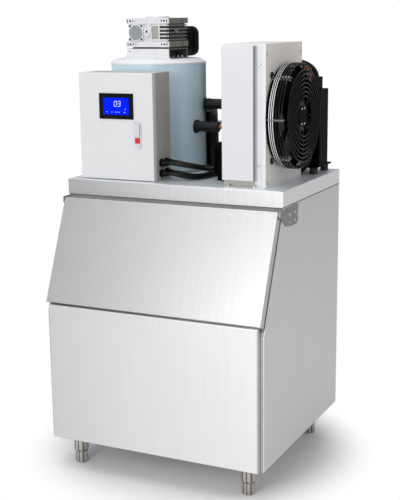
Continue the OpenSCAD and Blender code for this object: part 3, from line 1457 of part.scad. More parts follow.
side_panel_left();
side_panel_right();
front_panel();
back_panel();
floor_panel();
bin_liner();
bin_foam();
mouth_frame();
deck();
deck_foam();
drop_chute();
leg_tubes();
foot_front_left();
foot_front_right();
foot_back_left();
foot_back_right();
hinge_brackets();
panel_screws();
lid_skin();
lid_foam();
lid_liner();
lid_gasket();
evaporator_jacket();
evaporator_cylinder();
drum_cap();
drum_base();
shaft_bearings();
main_shaft();
ice_blade();
water_pan();
gearbox_housing();
gearbox_cap();
gearbox_adaptor();
drive_motor();
motor_cowl();
control_box();
control_door();
door_hinges();
screen_bezel();
screen_lcd();
latch_plate();
latch_handle();
latch_button();
switchgear();
cable_glands();
control_cables();
condenser_casing();
front_cover();
condenser_coil();
fan_guard();
fan_motor();
fan_rotor();
compressor();
compressor_grommets();
receiver();
copper_pipes();
insulated_pipes();
water_tank();
water_pump();
water_pipe();
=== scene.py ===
import json
import math
import bpy
import numpy as np
from mathutils import Matrix, Vector


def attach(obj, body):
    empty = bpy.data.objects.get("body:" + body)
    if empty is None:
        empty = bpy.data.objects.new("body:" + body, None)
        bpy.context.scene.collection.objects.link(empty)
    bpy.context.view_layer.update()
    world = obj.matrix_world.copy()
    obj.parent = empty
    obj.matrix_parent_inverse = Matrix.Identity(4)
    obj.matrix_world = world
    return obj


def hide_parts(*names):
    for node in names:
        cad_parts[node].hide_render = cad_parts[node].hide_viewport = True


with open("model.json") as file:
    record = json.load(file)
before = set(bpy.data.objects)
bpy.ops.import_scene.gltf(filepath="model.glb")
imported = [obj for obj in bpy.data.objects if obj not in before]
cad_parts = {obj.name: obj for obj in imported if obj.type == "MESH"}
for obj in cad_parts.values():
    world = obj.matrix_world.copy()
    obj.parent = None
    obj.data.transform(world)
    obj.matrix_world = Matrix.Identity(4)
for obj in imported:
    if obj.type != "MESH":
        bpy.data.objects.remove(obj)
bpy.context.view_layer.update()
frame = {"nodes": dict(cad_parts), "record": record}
nodes = frame["nodes"]
scene = bpy.context.scene
print("frame loaded:", len(nodes), "nodes")


def tone(hexText):  # sRGB hex to a linear colour
    parts = np.array([int(hexText[i:i + 2], 16) for i in (1, 3, 5)]) / 255
    linear = np.where(parts <= 0.04045, parts / 12.92, ((parts + 0.055) / 1.055) ** 2.4)
    return (*linear.tolist(), 1.0)


def product(tree, first, second):  # a socket times another socket or a number
    node = tree.nodes.new("ShaderNodeMath")
    node.operation = "MULTIPLY"
    tree.links.new(first, node.inputs[0])
    if isinstance(second, (int, float)):
        node.inputs[1].default_value = second
    else:
        tree.links.new(second, node.inputs[1])
    return node.outputs[0]


def axes(tree, vector):  # a vector socket's X, Y and Z
    node = tree.nodes.new("ShaderNodeSeparateXYZ")
    tree.links.new(vector, node.inputs[0])
    return node.outputs


def blend(tree, share, first, second):  # two colours, the first a socket or a fixed colour
    node = tree.nodes.new("ShaderNodeMix")
    node.data_type = "RGBA"
    colourA, colourB, mixed = node.inputs[6], node.inputs[7], node.outputs[2]
    tree.links.new(share, node.inputs["Factor"])
    if isinstance(first, tuple):
        colourA.default_value = first
    else:
        tree.links.new(first, colourA)
    colourB.default_value = second
    return mixed


def spread(tree, value, low, high, fromLow=0.3, fromHigh=0.7):  # carries a noise's middle range to low..high
    carry = tree.nodes.new("ShaderNodeMapRange")
    carry.inputs["From Min"].default_value, carry.inputs["From Max"].default_value = fromLow, fromHigh
    carry.inputs["To Min"].default_value, carry.inputs["To Max"].default_value = low, high
    tree.links.new(value, carry.inputs["Value"])
    return carry.outputs["Result"]


# camera: matched to the photograph's 400 x 500 frame
cameraView = {
    "place": (1.480, -3.023, 1.419),  # metres
    "yaw": 0.452, "pitch": 0.216, "roll": -0.012,  # radians, left of +Y, down, clockwise
    "lens": 75.99, "sensor": 36.0,  # mm along the long side
}


def makeCamera(view):
    yaw, pitch, roll = view["yaw"], view["pitch"], view["roll"]
    ahead = Vector((-math.sin(yaw) * math.cos(pitch), math.cos(yaw) * math.cos(pitch), -math.sin(pitch)))
    right = Vector((math.cos(yaw), math.sin(yaw), 0))
    up = right.cross(ahead)
    sideways = math.cos(roll) * right + math.sin(roll) * up
    upward = -math.sin(roll) * right + math.cos(roll) * up
    data = bpy.data.cameras.new("photoCamera")
    data.sensor_fit, data.sensor_width, data.lens = "AUTO", view["sensor"], view["lens"]
    camera = bpy.data.objects.new("photoCamera", data)
    scene.collection.objects.link(camera)
    turn = Matrix((sideways, upward, -ahead)).transposed().to_4x4()
    camera.matrix_world = Matrix.Translation(view["place"]) @ turn
    scene.camera = camera


makeCamera(cameraView)
print("camera placed")


# studio: a large soft lamp to the left of the camera, a weak one from above, a pale sky and floor
studio = {
    "sky": (0.77, 0.46), "skyTurn": (-0.8, 0.8), "skyTone": "#f6f5f6",  # strength in front and behind
    "lamps": [
        {"name": "keyLamp", "place": (-0.25, -3.1, 1.55), "aim": (0.1, -0.3, 0.75), "size": (1.1, 1.6), "watts": 27},
        {"name": "topLamp", "place": (-0.5, -0.6, 3.6), "aim": (0, 0, 1.0), "size": (2.4, 2.0), "watts": 34},
    ],
    "floor": 9.0, "floorDrop": 0.0006, "floorTone": "#efeff0", "fade": (0.38, 0.60),
}


def makeStudio(look):
    scene.view_settings.view_transform = "Standard"
    world = bpy.data.worlds.new("paleSky")
    scene.world = world
    world.use_nodes = True
    tree = world.node_tree
    sky = tree.nodes["Background"]
    sky.inputs["Color"].default_value = tone(look["skyTone"])
    coords = tree.nodes.new("ShaderNodeTexCoord")
    ahead = axes(tree, coords.outputs["Generated"])[1]
    tree.links.new(spread(tree, ahead, *look["sky"], *look["skyTurn"]), sky.inputs["Strength"])
    white = tree.nodes.new("ShaderNodeBackground")
    white.inputs["Color"].default_value = (1, 1, 1, 1)
    white.inputs["Strength"].default_value = 1.0
    mix = tree.nodes.new("ShaderNodeMixShader")
    tree.links.new(seenByEye(tree), mix.inputs["Fac"])
    tree.links.new(sky.outputs[0], mix.inputs[1])
    tree.links.new(white.outputs[0], mix.inputs[2])
    tree.links.new(mix.outputs[0], tree.nodes["World Output"].inputs["Surface"])
    for lamp in look["lamps"]:
        data = bpy.data.lights.new(lamp["name"], "AREA")
        data.shape, data.size, data.size_y = "RECTANGLE", *lamp["size"]
        data.energy = lamp["watts"]
        thing = bpy.data.objects.new(lamp["name"], data)
        thing.location = lamp["place"]
        thing.rotation_euler = (Vector(lamp["aim"]) - Vector(lamp["place"])).to_track_quat("-Z", "Y").to_euler()
        scene.collection.objects.link(thing)
    half, low = look["floor"] / 2, -look["floorDrop"]
    corners = [(-half, -half, low), (half, -half, low), (half, half, low), (-half, half, low)]
    mesh = bpy.data.meshes.new("paleFloor")
    mesh.from_pydata(corners, [], [(0, 1, 2, 3)])
    floor = bpy.data.objects.new("paleFloor", mesh)
    scene.collection.objects.link(floor)
    mesh.materials.append(floorFinish(look))


def seenByEye(tree):  # 1 for rays straight from the camera
    return tree.nodes.new("ShaderNodeLightPath").outputs["Is Camera Ray"]


def floorFinish(look):  # matte near the object, so that it takes the shadow, and plain white further out
    mat = bpy.data.materials.new("paleFloor")
    mat.use_nodes = True
    tree = mat.node_tree
    shader = tree.nodes["Principled BSDF"]
    shader.inputs["Base Color"].default_value = tone(look["floorTone"])
    shader.inputs["Roughness"].default_value = 0.9
    shader.inputs["Specular IOR Level"].default_value = 0.1
    glow = tree.nodes.new("ShaderNodeEmission")
    glow.inputs["Strength"].default_value = 1.0
    coords = tree.nodes.new("ShaderNodeTexCoord")
    reach = tree.nodes.new("ShaderNodeVectorMath")
    reach.operation = "LENGTH"
    tree.links.new(coords.outputs["Object"], reach.inputs[0])
    fade = tree.nodes.new("ShaderNodeMapRange")
    fade.interpolation_type = "SMOOTHSTEP"
    fade.inputs["From Min"].default_value, fade.inputs["From Max"].default_value = look["fade"]
    tree.links.new(reach.outputs["Value"], fade.inputs["Value"])
    mix = tree.nodes.new("ShaderNodeMixShader")
    tree.links.new(product(tree, fade.outputs["Result"], seenByEye(tree)), mix.inputs["Fac"])
    tree.links.new(shader.outputs[0], mix.inputs[1])
    tree.links.new(glow.outputs[0], mix.inputs[2])
    tree.links.new(mix.outputs[0], tree.nodes["Material Output"].inputs["Surface"])
    return mat


makeStudio(studio)
print("studio lit")


# finishes: light and dark shade, metal, roughness from and to, grain per metre along X Y Z, cloud per metre,
# how much the grain and the cloud colour it, bump height in metres; where a finish has them: specular level,
# glow with its strength, a painted shade along X, a painted shade band or painted reflection bands by which way
# the face looks, and boxes of tone, most of them painted light and shade, of the object's own metres from a low to a
# high corner with a tone and its share
finishes = {
    "stainless_sheet": {"light": "#f4f4f5", "dark": "#dcdcdf", "metal": 0.5, "rough": (0.34, 0.46),
                        # painted shade: the sheet darkens towards -X
                        "along": (0.33, -0.36, "#aeaeb0", 0.9),
                        "grain": (330, 330, 4), "cloud": 3, "mix": (0.5, 0.25), "bump": 0.000006,
                        # boxes: painted shade on the lid and the deck's front, painted light on the bin's front, its
                        # right side and the deck's right side, a painted sky reflection on the deck top, painted shade
                        # in the seam under the deck and on the fold and in the grooves at the front right corner
                        "tonePatchesAndPaintedLight": [((-0.3665, None, 0.548), (0.3665, -0.190, 0.870), "#b2b2b4", 0.36),
                                    ((None, None, 0.873), (0.3680, -0.170, None), "#b4b4b6", 0.12),
                                    ((-0.3600, None, None), (0.3575, -0.330, 0.546), "#ffffff", 0.36),
                                    ((None, None, 0.9204), (None, None, None), "#eaf2f8", 0.8),
                                    ((0.3692, None, None), (None, None, None), "#e4e4e6", 0.7),
                                    ((0.3692, None, 0.8748), (None, None, None), "#ffffff", 0.9),
                                    ((0.3688, None, 0.8712), (None, None, 0.8748), "#585859", 0.85),
                                    ((0.3594, None, None), (0.3640, -0.300, 0.5435), "#a9a9ab", 0.6),
                                    ((0.3568, None, None), (0.3594, -0.300, 0.5435), "#4a4a4b", 0.9),
                                    ((0.3640, None, None), (0.3662, -0.300, 0.5435), "#58585a", 0.85)]},
    "leg_steel": {"light": "#d9d5cf", "dark": "#a8a49e", "metal": 0.9, "rough": (0.24, 0.38),
                  # painted reflection: dark bands round each foot by the normal's X
                  "paintedReflectionStripes": (11, "#3b3834", 0.84),
                  "grain": (900, 900, 30), "cloud": 30, "mix": (0.5, 0.3), "bump": 0.00003},
    "inner_steel": {"light": "#c9cbcd", "dark": "#a4a6a9", "metal": 0.9, "rough": (0.28, 0.45),
                    "grain": (120, 120, 1600), "cloud": 12, "mix": (0.5, 0.3), "bump": 0.00003},
    "bracket_steel": {"light": "#adadae", "dark": "#8d8d8e", "metal": 0.7, "rough": (0.4, 0.55),
                      "grain": (500, 500, 500), "cloud": 40, "mix": (0.4, 0.5), "bump": 0.00004},
    "zinc": {"light": "#e4e8ec", "dark": "#b4bac0", "metal": 1.0, "rough": (0.16, 0.3),
             "grain": (700, 700, 700), "cloud": 160, "mix": (0.4, 0.5), "bump": 0.00003},
    "white_liner": {"light": "#f1f2f2", "dark": "#e6e8e8", "metal": 0.0, "rough": (0.3, 0.42),
                    "grain": (300, 300, 300), "cloud": 6, "mix": (0.4, 0.4), "bump": 0.00006},
    "grey_frame": {"light": "#8c8c8d", "dark": "#747475", "metal": 0.2, "rough": (0.4, 0.52),
                   "grain": (600, 600, 600), "cloud": 10, "mix": (0.4, 0.4), "bump": 0.00005},
    "foam": {"light": "#7d7a70", "dark": "#67645b", "metal": 0.0, "rough": (0.8, 0.95),
             "grain": (260, 260, 260), "cloud": 30, "mix": (0.6, 0.4), "bump": 0.0006,
             # painted highlight: a pale strip on the foam by the lid's lower right corner, for the side panel's lit rim
             "tonePatchesAndPaintedLight": [((0.3300, None, 0.5200), (None, -0.280, 0.5900), "#c4c4c6", 0.9)]},
    "dark_rubber": {"light": "#2e2e30", "dark": "#1c1c1e", "metal": 0.0, "rough": (0.55, 0.7),
                    "grain": (500, 500, 500), "cloud": 30, "mix": (0.5, 0.4), "bump": 0.00008},
    "blue_paint": {"light": "#d4ebf9", "dark": "#c8e4f2", "metal": 0.0, "rough": (0.3, 0.4),
                   # painted shade: a dark band down the drum's right side, by which way the face looks
                   "edge": {"rise": (-0.12, 0.26), "fall": (0.51, 0.95), "side": (0.1, 0.6), "tone": ("#28343a", 0.9)},
                   "grain": (420, 420, 420), "cloud": 7, "mix": (0.2, 0.5), "bump": 0.00005},
    "white_paint": {"light": "#e0dfe2", "dark": "#d7d6d9", "metal": 0.0, "rough": (0.36, 0.46),
                    "grain": (520, 520, 520), "cloud": 8, "mix": (0.35, 0.4), "bump": 0.00004,
                    # painted shade on the right side wall of the condenser's front cover; painted light on the left of
                    # the drum cap
                    "tonePatchesAndPaintedLight": [((0.2622, None, None), (None, None, 1.35), "#98989b", 0.9),
                                ((None, None, 1.2742), (-0.02, None, 1.2915), "#e3e6e9", 0.9)]},
    "casing_paint": {"light": "#f5f2ee", "dark": "#ebe8e3", "metal": 0.0, "rough": (0.34, 0.45),
                     "grain": (520, 520, 520), "cloud": 6, "mix": (0.35, 0.4), "bump": 0.00004,
                     # painted light: the front faces a cooler white than the sides; painted shadow beside the cover's
                     # right side and along the foot under the cover; the outermost flange strip a warm white
                     "tonePatchesAndPaintedLight": [((None, None, None), (None, -0.1338, None), "#dcdfe4", 0.9),
                                 ((0.2630, None, 0.9400), (0.2715, -0.1338, 1.3400), "#a9abb0", 0.8),
                                 ((0.2895, None, None), (0.2975, -0.1338, None), "#ebe8e5", 0.9),
                                 ((None, None, None), (0.2640, -0.1330, 0.9415), "#a8a298", 0.8)]},
    "door_paint": {"light": "#dfdee0", "dark": "#d5d4d6", "metal": 0.0, "rough": (0.36, 0.48),
                   "grain": (700, 700, 700), "cloud": 7, "mix": (0.4, 0.35), "bump": 0.00006},
    "box_grey": {"light": "#bebdb5", "dark": "#adaca4", "metal": 0.1, "rough": (0.4, 0.52),
                 "grain": (700, 700, 700), "cloud": 7, "mix": (0.4, 0.35), "bump": 0.00006},
    "cast_aluminium": {"light": "#ededf0", "dark": "#d3d4d7", "metal": 0.3, "rough": (0.34, 0.5),
                       "grain": (420, 420, 420), "cloud": 30, "mix": (0.45, 0.5), "bump": 0.00016,
                       # painted shade: the gearbox's dark right side and wall, black in its recesses and holes and
                       # along the line under the housing, dark in the adaptor's open cavity; the name plate's grey is
                       # its own
                       "tonePatchesAndPaintedLight": [((-0.1336, 0.0745, None), (None, None, None), "#716d64", 0.92),
                                   ((-0.1336, None, 1.336), (-0.1318, None, 1.416), "#3a3731", 0.92),
                                   ((-0.1336, None, 1.353), (-0.1310, None, 1.399), "#0b0b0b", 0.95),
                                   ((-0.1596, 0.0772, 1.353), (-0.1240, 0.0790, 1.399), "#0b0b0b", 0.95),
                                   ((-0.1896, 0.0754, 1.354), (-0.1634, 0.0766, 1.397), "#9a948a", 0.85),
                                   ((None, None, 1.3236), (None, None, 1.3289), "#0d0c0b", 0.95),
                                   ((-0.1690, 0.0750, 1.293), (-0.1200, 0.2040, 1.322), "#4d4841", 0.9)]
                       + [((x - 0.0122, 0.0703, z - 0.0047), (x + 0.0122, 0.0860, z + 0.0047), "#0b0b0b", 0.95)
                          for x in (-0.2665, -0.1415) for z in (1.338, 1.413)]
                       + [((x - 0.0036, 0.0703, z - 0.0036), (x + 0.0036, 0.0860, z + 0.0036), "#0b0b0b", 0.95)
                          for x, z in [(-0.248 + i * 0.0215, 1.3755 + j * 0.0215) for i in (-1, 1) for j in (-1, 1)]
                          + [(-0.207, 1.3785)]]},
    "fin_aluminium": {"light": "#c9cbce", "dark": "#9fa2a5", "metal": 0.9, "rough": (0.3, 0.45),
                      "grain": (90, 900, 90), "cloud": 20, "mix": (0.5, 0.4), "bump": 0.00004},
    "grey_cap": {"light": "#939a9e", "dark": "#848b8f", "metal": 0.0, "rough": (0.42, 0.55),
                 "grain": (600, 600, 600), "cloud": 40, "mix": (0.4, 0.4), "bump": 0.00006},
    "black_paint": {"light": "#050506", "dark": "#020203", "metal": 0.0, "rough": (0.34, 0.5), "spec": 0.03,
                    "grain": (420, 420, 420), "cloud": 20, "mix": (0.4, 0.5), "bump": 0.00007},
    "black_plastic": {"light": "#0d0e10", "dark": "#070809", "metal": 0.0, "rough": (0.24, 0.38), "spec": 0.1,
                      "grain": (800, 800, 800), "cloud": 50, "mix": (0.4, 0.4), "bump": 0.00004},
    "blue_screen": {"light": "#04125c", "dark": "#030c44", "metal": 0.0, "rough": (0.12, 0.2), "spec": 0.0,
                    "glow": ("#0520fc", 0.95),
                    "grain": (2400, 2400, 2400), "cloud": 14, "mix": (0.1, 0.8), "bump": 0.000004},
    "screen_white": {"light": "#dfe8ff", "dark": "#b9ccff", "metal": 0.0, "rough": (0.3, 0.4), "spec": 0.0,
                     "glow": ("#c9d6ff", 0.6),
                     "grain": (1200, 1200, 1200), "cloud": 60, "mix": (0.4, 0.4), "bump": 0.000004},
    "latch_grey": {"light": "#dcdae0", "dark": "#cbc9d2", "metal": 0.1, "rough": (0.24, 0.36),
                   "grain": (800, 800, 800), "cloud": 60, "mix": (0.4, 0.4), "bump": 0.00003,
                   "tonePatchesAndPaintedLight": [((-0.1330, None, 1.0403), (-0.1150, -0.1545, 1.0577), "#d81f27", 0.95)]},
    "red_plastic": {"light": "#e0262c", "dark": "#c41a22", "metal": 0.0, "rough": (0.28, 0.4),
                    "grain": (900, 900, 900), "cloud": 80, "mix": (0.4, 0.4), "bump": 0.00003},
    "cable_rubber": {"light": "#0e0f10", "dark": "#070808", "metal": 0.0, "rough": (0.3, 0.44), "spec": 0.25,
                     "grain": (400, 400, 400), "cloud": 40, "mix": (0.4, 0.4), "bump": 0.00008},
    "guard_wire": {"light": "#060709", "dark": "#030405", "metal": 0.0, "rough": (0.2, 0.32), "spec": 0.22,
                   "grain": (500, 500, 500), "cloud": 30, "mix": (0.4, 0.4), "bump": 0.00004,
                   # painted reflection: pale halves of the three base rings, a grey sheen on the pair wires and the
                   # middle wires
                   "tonePatchesAndPaintedLight": [((x - 0.0021, None, None), (x + 0.0008, None, None), "#ececee", 0.95)
                               for x in (0.312, 0.318, 0.324)]
                   + [((0.2980, 0.015 + y * 0.0990 - 0.008, 1.125 + z * 0.1180 - 0.008),
                       (0.3570, 0.015 + y * 0.0990 + 0.008, 1.125 + z * 0.1180 + 0.008), "#8b8b8d", 0.9)
                      for y in (-1, 1) for z in (-1, 1)]
                   + [((0.2980, 0.015 + y * 0.1560 - 0.008, 1.1218), (0.3570, 0.015 + y * 0.1560 + 0.008, 1.1282),
                       "#8b8b8d", 0.9) for y in (-1, 1)]},
    "copper": {"light": "#d98a5c", "dark": "#a85a34", "metal": 1.0, "rough": (0.22, 0.4),
               "grain": (300, 300, 300), "cloud": 40, "mix": (0.4, 0.6), "bump": 0.00004},
    "pipe_foam": {"light": "#161819", "dark": "#0b0c0d", "metal": 0.0, "rough": (0.34, 0.5), "spec": 0.35,
                  "grain": (700, 700, 700), "cloud": 40, "mix": (0.5, 0.4), "bump": 0.00012},
    "pump_plastic": {"light": "#33507e", "dark": "#27406a", "metal": 0.0, "rough": (0.34, 0.46),
                     "grain": (700, 700, 700), "cloud": 30, "mix": (0.4, 0.4), "bump": 0.00006},
    "pipe_plastic": {"light": "#e2e6e8", "dark": "#d2d7da", "metal": 0.0, "rough": (0.3, 0.42),
                     "grain": (500, 500, 500), "cloud": 20, "mix": (0.4, 0.4), "bump": 0.00005},
}
finishes["lid_sheet"] = {**finishes["stainless_sheet"], "grain": (330, 4, 4)}  # brushed along the slope


def noiseOn(tree, coords, scale, detail):  # noise stretched by a scale for each axis
    turn = tree.nodes.new("ShaderNodeMapping")
    turn.inputs["Scale"].default_value = scale
    tree.links.new(coords.outputs["Object"], turn.inputs["Vector"])
    noise = tree.nodes.new("ShaderNodeTexNoise")
    noise.inputs["Scale"].default_value = 1.0
    noise.inputs["Detail"].default_value = detail
    tree.links.new(turn.outputs["Vector"], noise.inputs["Vector"])
    return noise.outputs["Fac"]


def boxMask(tree, place, low, high):  # 1 inside a box of the object's own coordinates, None for no bound
    far = 9  # metres, past every piece
    mask = None
    for axis in range(3):
        if low[axis] is None and high[axis] is None:
            continue
        start = -far if low[axis] is None else low[axis]
        end = far if high[axis] is None else high[axis]
        near = tree.nodes.new("ShaderNodeMath")
        near.operation = "COMPARE"
        near.inputs[1].default_value, near.inputs[2].default_value = (start + end) / 2, (end - start) / 2
        tree.links.new(place[axis], near.inputs[0])
        mask = near.outputs[0] if mask is None else product(tree, mask, near.outputs[0])
    return mask


def overlay(tree, shade, mask, patchTone, amount):  # lays a second colour over the first where the mask is 1
    return blend(tree, product(tree, mask, amount), shade, tone(patchTone))


def makeFinish(name, look):  # fine grain and slow cloud move the colour, roughness and bump
    mat = bpy.data.materials.new(name)
    mat.use_nodes = True
    tree = mat.node_tree
    shader = tree.nodes["Principled BSDF"]
    coords = tree.nodes.new("ShaderNodeTexCoord")
    grain = noiseOn(tree, coords, look["grain"], 3)
    cloud = noiseOn(tree, coords, (look["cloud"],) * 3, 2)
    share = tree.nodes.new("ShaderNodeMath")
    share.operation = "ADD"
    tree.links.new(spread(tree, grain, 0, look["mix"][0]), share.inputs[0])
    tree.links.new(spread(tree, cloud, 0, look["mix"][1]), share.inputs[1])
    shade = blend(tree, share.outputs[0], tone(look["light"]), tone(look["dark"]))
    place, facing = axes(tree, coords.outputs["Object"]), axes(tree, coords.outputs["Normal"])
    # painted shade: the colour moves to a darker tone along X
    if "along" in look:
        start, end, paintedShadeTone, amount = look["along"]
        shade = overlay(tree, shade, spread(tree, place[0], 0, 1, start, end), paintedShadeTone, amount)
    # boxes of tone: most lay painted light and shade, a few the thing's own colours
    for low, high, patchTone, amount in look.get("tonePatchesAndPaintedLight", []):
        shade = overlay(tree, shade, boxMask(tree, place, low, high), patchTone, amount)
    if "edge" in look:  # a painted shade band down the right of a turned part
        rise = spread(tree, facing[1], 0, 1, *look["edge"]["rise"])
        fall = spread(tree, facing[1], 1, 0, *look["edge"]["fall"])
        side = spread(tree, facing[0], 0, 1, *look["edge"]["side"])
        shade = overlay(tree, shade, product(tree, product(tree, rise, fall), side), *look["edge"]["tone"])
    if "paintedReflectionStripes" in look:  # painted reflection bands along a turned part: a sine of its normal's X
        count, paintedReflectionTone, amount = look["paintedReflectionStripes"]
        wave = tree.nodes.new("ShaderNodeMath")
        wave.operation = "SINE"
        tree.links.new(product(tree, facing[0], count), wave.inputs[0])
        shade = overlay(tree, shade, spread(tree, wave.outputs[0], 0, 1, 0.1, 1.0), paintedReflectionTone, amount)
    tree.links.new(shade, shader.inputs["Base Color"])
    tree.links.new(spread(tree, grain, *look["rough"]), shader.inputs["Roughness"])
    bump = tree.nodes.new("ShaderNodeBump")
    bump.inputs["Strength"].default_value = 1.0
    bump.inputs["Distance"].default_value = look["bump"]
    tree.links.new(grain, bump.inputs["Height"])
    tree.links.new(bump.outputs["Normal"], shader.inputs["Normal"])
    shader.inputs["Metallic"].default_value = look["metal"]
    shader.inputs["Specular IOR Level"].default_value = look.get("spec", 0.5)
    if "glow" in look:
        shader.inputs["Emission Color"].default_value = tone(look["glow"][0])
        shader.inputs["Emission Strength"].default_value = look["glow"][1]
    return mat


finish = {name: makeFinish(name, look) for name, look in finishes.items()}
for part in frame["record"]["subparts"]:
    thing = nodes[part["node"]]
    thing.data.materials.clear()
    thing.data.materials.append(finish[part["material_slot"]])
nodes["lid_skin"].data.materials[0] = finish["lid_sheet"]
print("finishes on:", len(finish))


def gridPiece(name, points, body, slotName, ring=False):  # columns joined round; rows too in a ring, otherwise end caps
    rows, columns = points.shape[:2]
    r, c = np.meshgrid(np.arange(rows if ring else rows - 1), np.arange(columns), indexing="ij")
    after, below = (c + 1) % columns, (r + 1) % rows
    quads = np.stack([r * columns + c, r * columns + after, below * columns + after, below * columns + c], -1)
    faces = quads.reshape(-1, 4).tolist()
    if not ring:
        faces += [list(range(columns - 1, -1, -1)), list(range((rows - 1) * columns, rows * columns))]
    mesh = bpy.data.meshes.new(name)
    mesh.from_pydata(points.reshape(-1, 3).tolist(), [], faces)
    mesh.polygons.foreach_set("use_smooth", np.arange(len(faces)) < len(quads.reshape(-1, 4)))
    mesh.materials.append(finish[slotName])
    thing = bpy.data.objects.new(name, mesh)
    scene.collection.objects.link(thing)
    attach(thing, body)
    return thing


def smoothWay(points, steps):  # uniform Catmull-Rom through the points, the end points doubled
    p = np.array(points)
    p = np.concatenate([p[:1], p, p[-1:]])
    a, b, c, d = (p[i:len(p) - 3 + i, None] for i in range(4))
    t = (np.arange(steps) / steps)[None, :, None]
    way = 0.5 * (2 * b + (c - a) * t + (2 * a - 5 * b + 4 * c - d) * t ** 2 + (3 * b - a - 3 * c + d) * t ** 3)
    return np.concatenate([way.reshape(-1, 3), p[-1:]])


def evenWay(way, gap):  # the same line with points a fixed gap apart
    far = np.concatenate([[0], np.cumsum(np.linalg.norm(np.diff(way, axis=0), axis=1))])
    marks = np.linspace(0, far[-1], max(int(far[-1] / gap), 8) + 1)
    return np.stack([np.interp(marks, far, way[:, i]) for i in range(3)], -1), marks


def tubePoints(way, radius, sides):  # circles of the given radius square to the line, radius may be rows x sides
    along = np.gradient(way, axis=0)
    along /= np.linalg.norm(along, axis=1, keepdims=True)
    across = np.cross(along, np.array([0.7071, -0.7071, 0.0]))  # a line that no piece follows
    across /= np.linalg.norm(across, axis=1, keepdims=True)
    upward = np.cross(along, across)
    turn = np.linspace(0, 2 * np.pi, sides, endpoint=False)
    ring = np.cos(turn)[None, :, None] * across[:, None] + np.sin(turn)[None, :, None] * upward[:, None]
    return way[:, None] + np.broadcast_to(radius, (len(way), sides))[..., None] * ring


# control cables: four sleeved leads from the glands, on the route of the CAD solids, millimetres
cables = {
    "radius": 6.45, "ridge": 0.3, "pitch": 8.0, "sides": 20, "gap": 1.4,
    "lead": [-70, -50, -34],  # X of the three points inside the gland
    "ways": {
        "condenserCable": ((-99.2, 943), [
            (-8.1, -95.2, 938), (15.7, -78.2, 931), (33.9, -48.9, 928.7), (44, -8.94, 928.7), (50, 44.34, 928.7),
            (63, 90.96, 928.7), (90, 115, 928.7), (124, 120, 928.7), (161.95, 120, 928.7)]),
        "compressorCable": ((-99.2, 976), [
            (-6, -95.2, 972), (22, -79.2, 966), (42, -48.9, 958), (51, -8.94, 950), (56, 51, 945),
            (62, 99.84, 945), (76, 139.8, 941), (99, 165, 933), (140, 175, 928.7), (200, 175, 928.7),
            (276, 175, 928.7), (305, 173, 940), (322, 169, 965), (328, 166, 990), (329, 165, 1012),
            (329, 168, 1027.3), (329, 176.7, 1040.3), (329, 189.7, 1049), (329, 203, 1051.6), (329, 214.95, 1052)]),
        "pumpCable": ((-65.6, 943), [
            (-11.6, -61.6, 939), (6.6, -47.6, 933), (19.9, -20.04, 929.7), (28.3, 13.26, 928.7), (26, 51, 930.7),
            (28, 93.18, 942.7), (37, 128.7, 966.7), (49, 158, 1002), (57, 183, 1032), (60, 209, 1043.5),
            (60, 230.95, 1045)]),
        "probeCable": ((-65.6, 976), [
            (-10.2, -62.6, 972), (11.5, -48.6, 966), (27.6, -22.26, 959), (37, 13.26, 951), (42, 53.22, 944),
            (48, 95.4, 939), (56, 135.36, 938), (70, 168, 942.6), (70, 193.95, 942.6)]),
    },
}
for name, ((y, z), rest) in cables["ways"].items():
    route = [(x, y, z) for x in cables["lead"]] + rest
    way, marks = evenWay(smoothWay(route, 24), cables["gap"])
    turn = np.linspace(0, 2 * np.pi, cables["sides"], endpoint=False)
    wind = 0.5 + 0.5 * np.cos(2 * np.pi * marks[:, None] / cables["pitch"] - turn[None])  # helix of a wound sleeve
    cable = gridPiece(name, tubePoints(way, cables["radius"] - cables["ridge"] * wind ** 6, cables["sides"]) / 1000,
                      "cabinet", "cable_rubber")
    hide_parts("control_cables")
print("cables laid:", len(cables["ways"]))


# drop hose: a lagged branch from the back of the upper pipe down to the deck, with soft rolls of foam
dropHose = {
    "way": [(-38, 187, 1136), (-42, 203, 1131), (-49, 224, 1116), (-57, 244, 1088), (-61, 257, 1050), (-62, 261, 1006),
            (-62, 262, 962), (-62, 262, 921.3)],
    "radius": 23.0, "roll": 0.7, "pitch": 34.0, "sides": 28, "gap": 2.5,  # millimetres
}


def makeDropHose(look):
    way, marks = evenWay(smoothWay(look["way"], 24), look["gap"])
    swell = look["radius"] - look["roll"] * np.abs(np.sin(np.pi * marks / look["pitch"])) ** 0.5
    gridPiece("dropHose", tubePoints(way, swell[:, None], look["sides"]) / 1000, "cabinet", "pipe_foam")


makeDropHose(dropHose)
print("drop hose laid")


# fan ring: a pressed collar round the fan opening, a profile turned about the fan's axis
fanRing = {
    "axis": (15.0, 1125.0), "sides": 128,  # Y and Z of the fan, millimetres
    "profile": [(298.2, 151.6), (299.4, 151.6), (301.2, 149.0), (305, 146.6), (318, 145.4), (331, 146.6), (335, 148.6),
                (335.8, 149.4), (335.2, 150.2), (331, 148.6), (318, 147.4), (306.5, 148.6), (303.2, 150.8),
                (301.0, 152.8), (298.2, 152.8)],
}


def turnedPoints(profile, axis, sides):  # profile of X and radius turned about a line along X
    shape = np.array(profile[::-1])
    turn = np.linspace(0, 2 * np.pi, sides, endpoint=False)
    flat = np.ones(sides)
    x, radius = shape[:, :1], shape[:, 1:]
    return np.stack([x * flat, axis[0] + radius * np.cos(turn), axis[1] + radius * np.sin(turn)], -1)


ringPoints = turnedPoints(fanRing["profile"], fanRing["axis"], fanRing["sides"])
gridPiece("fanRing", ringPoints / 1000, "cabinet", "black_paint", ring=True)
print("fan ring turned")


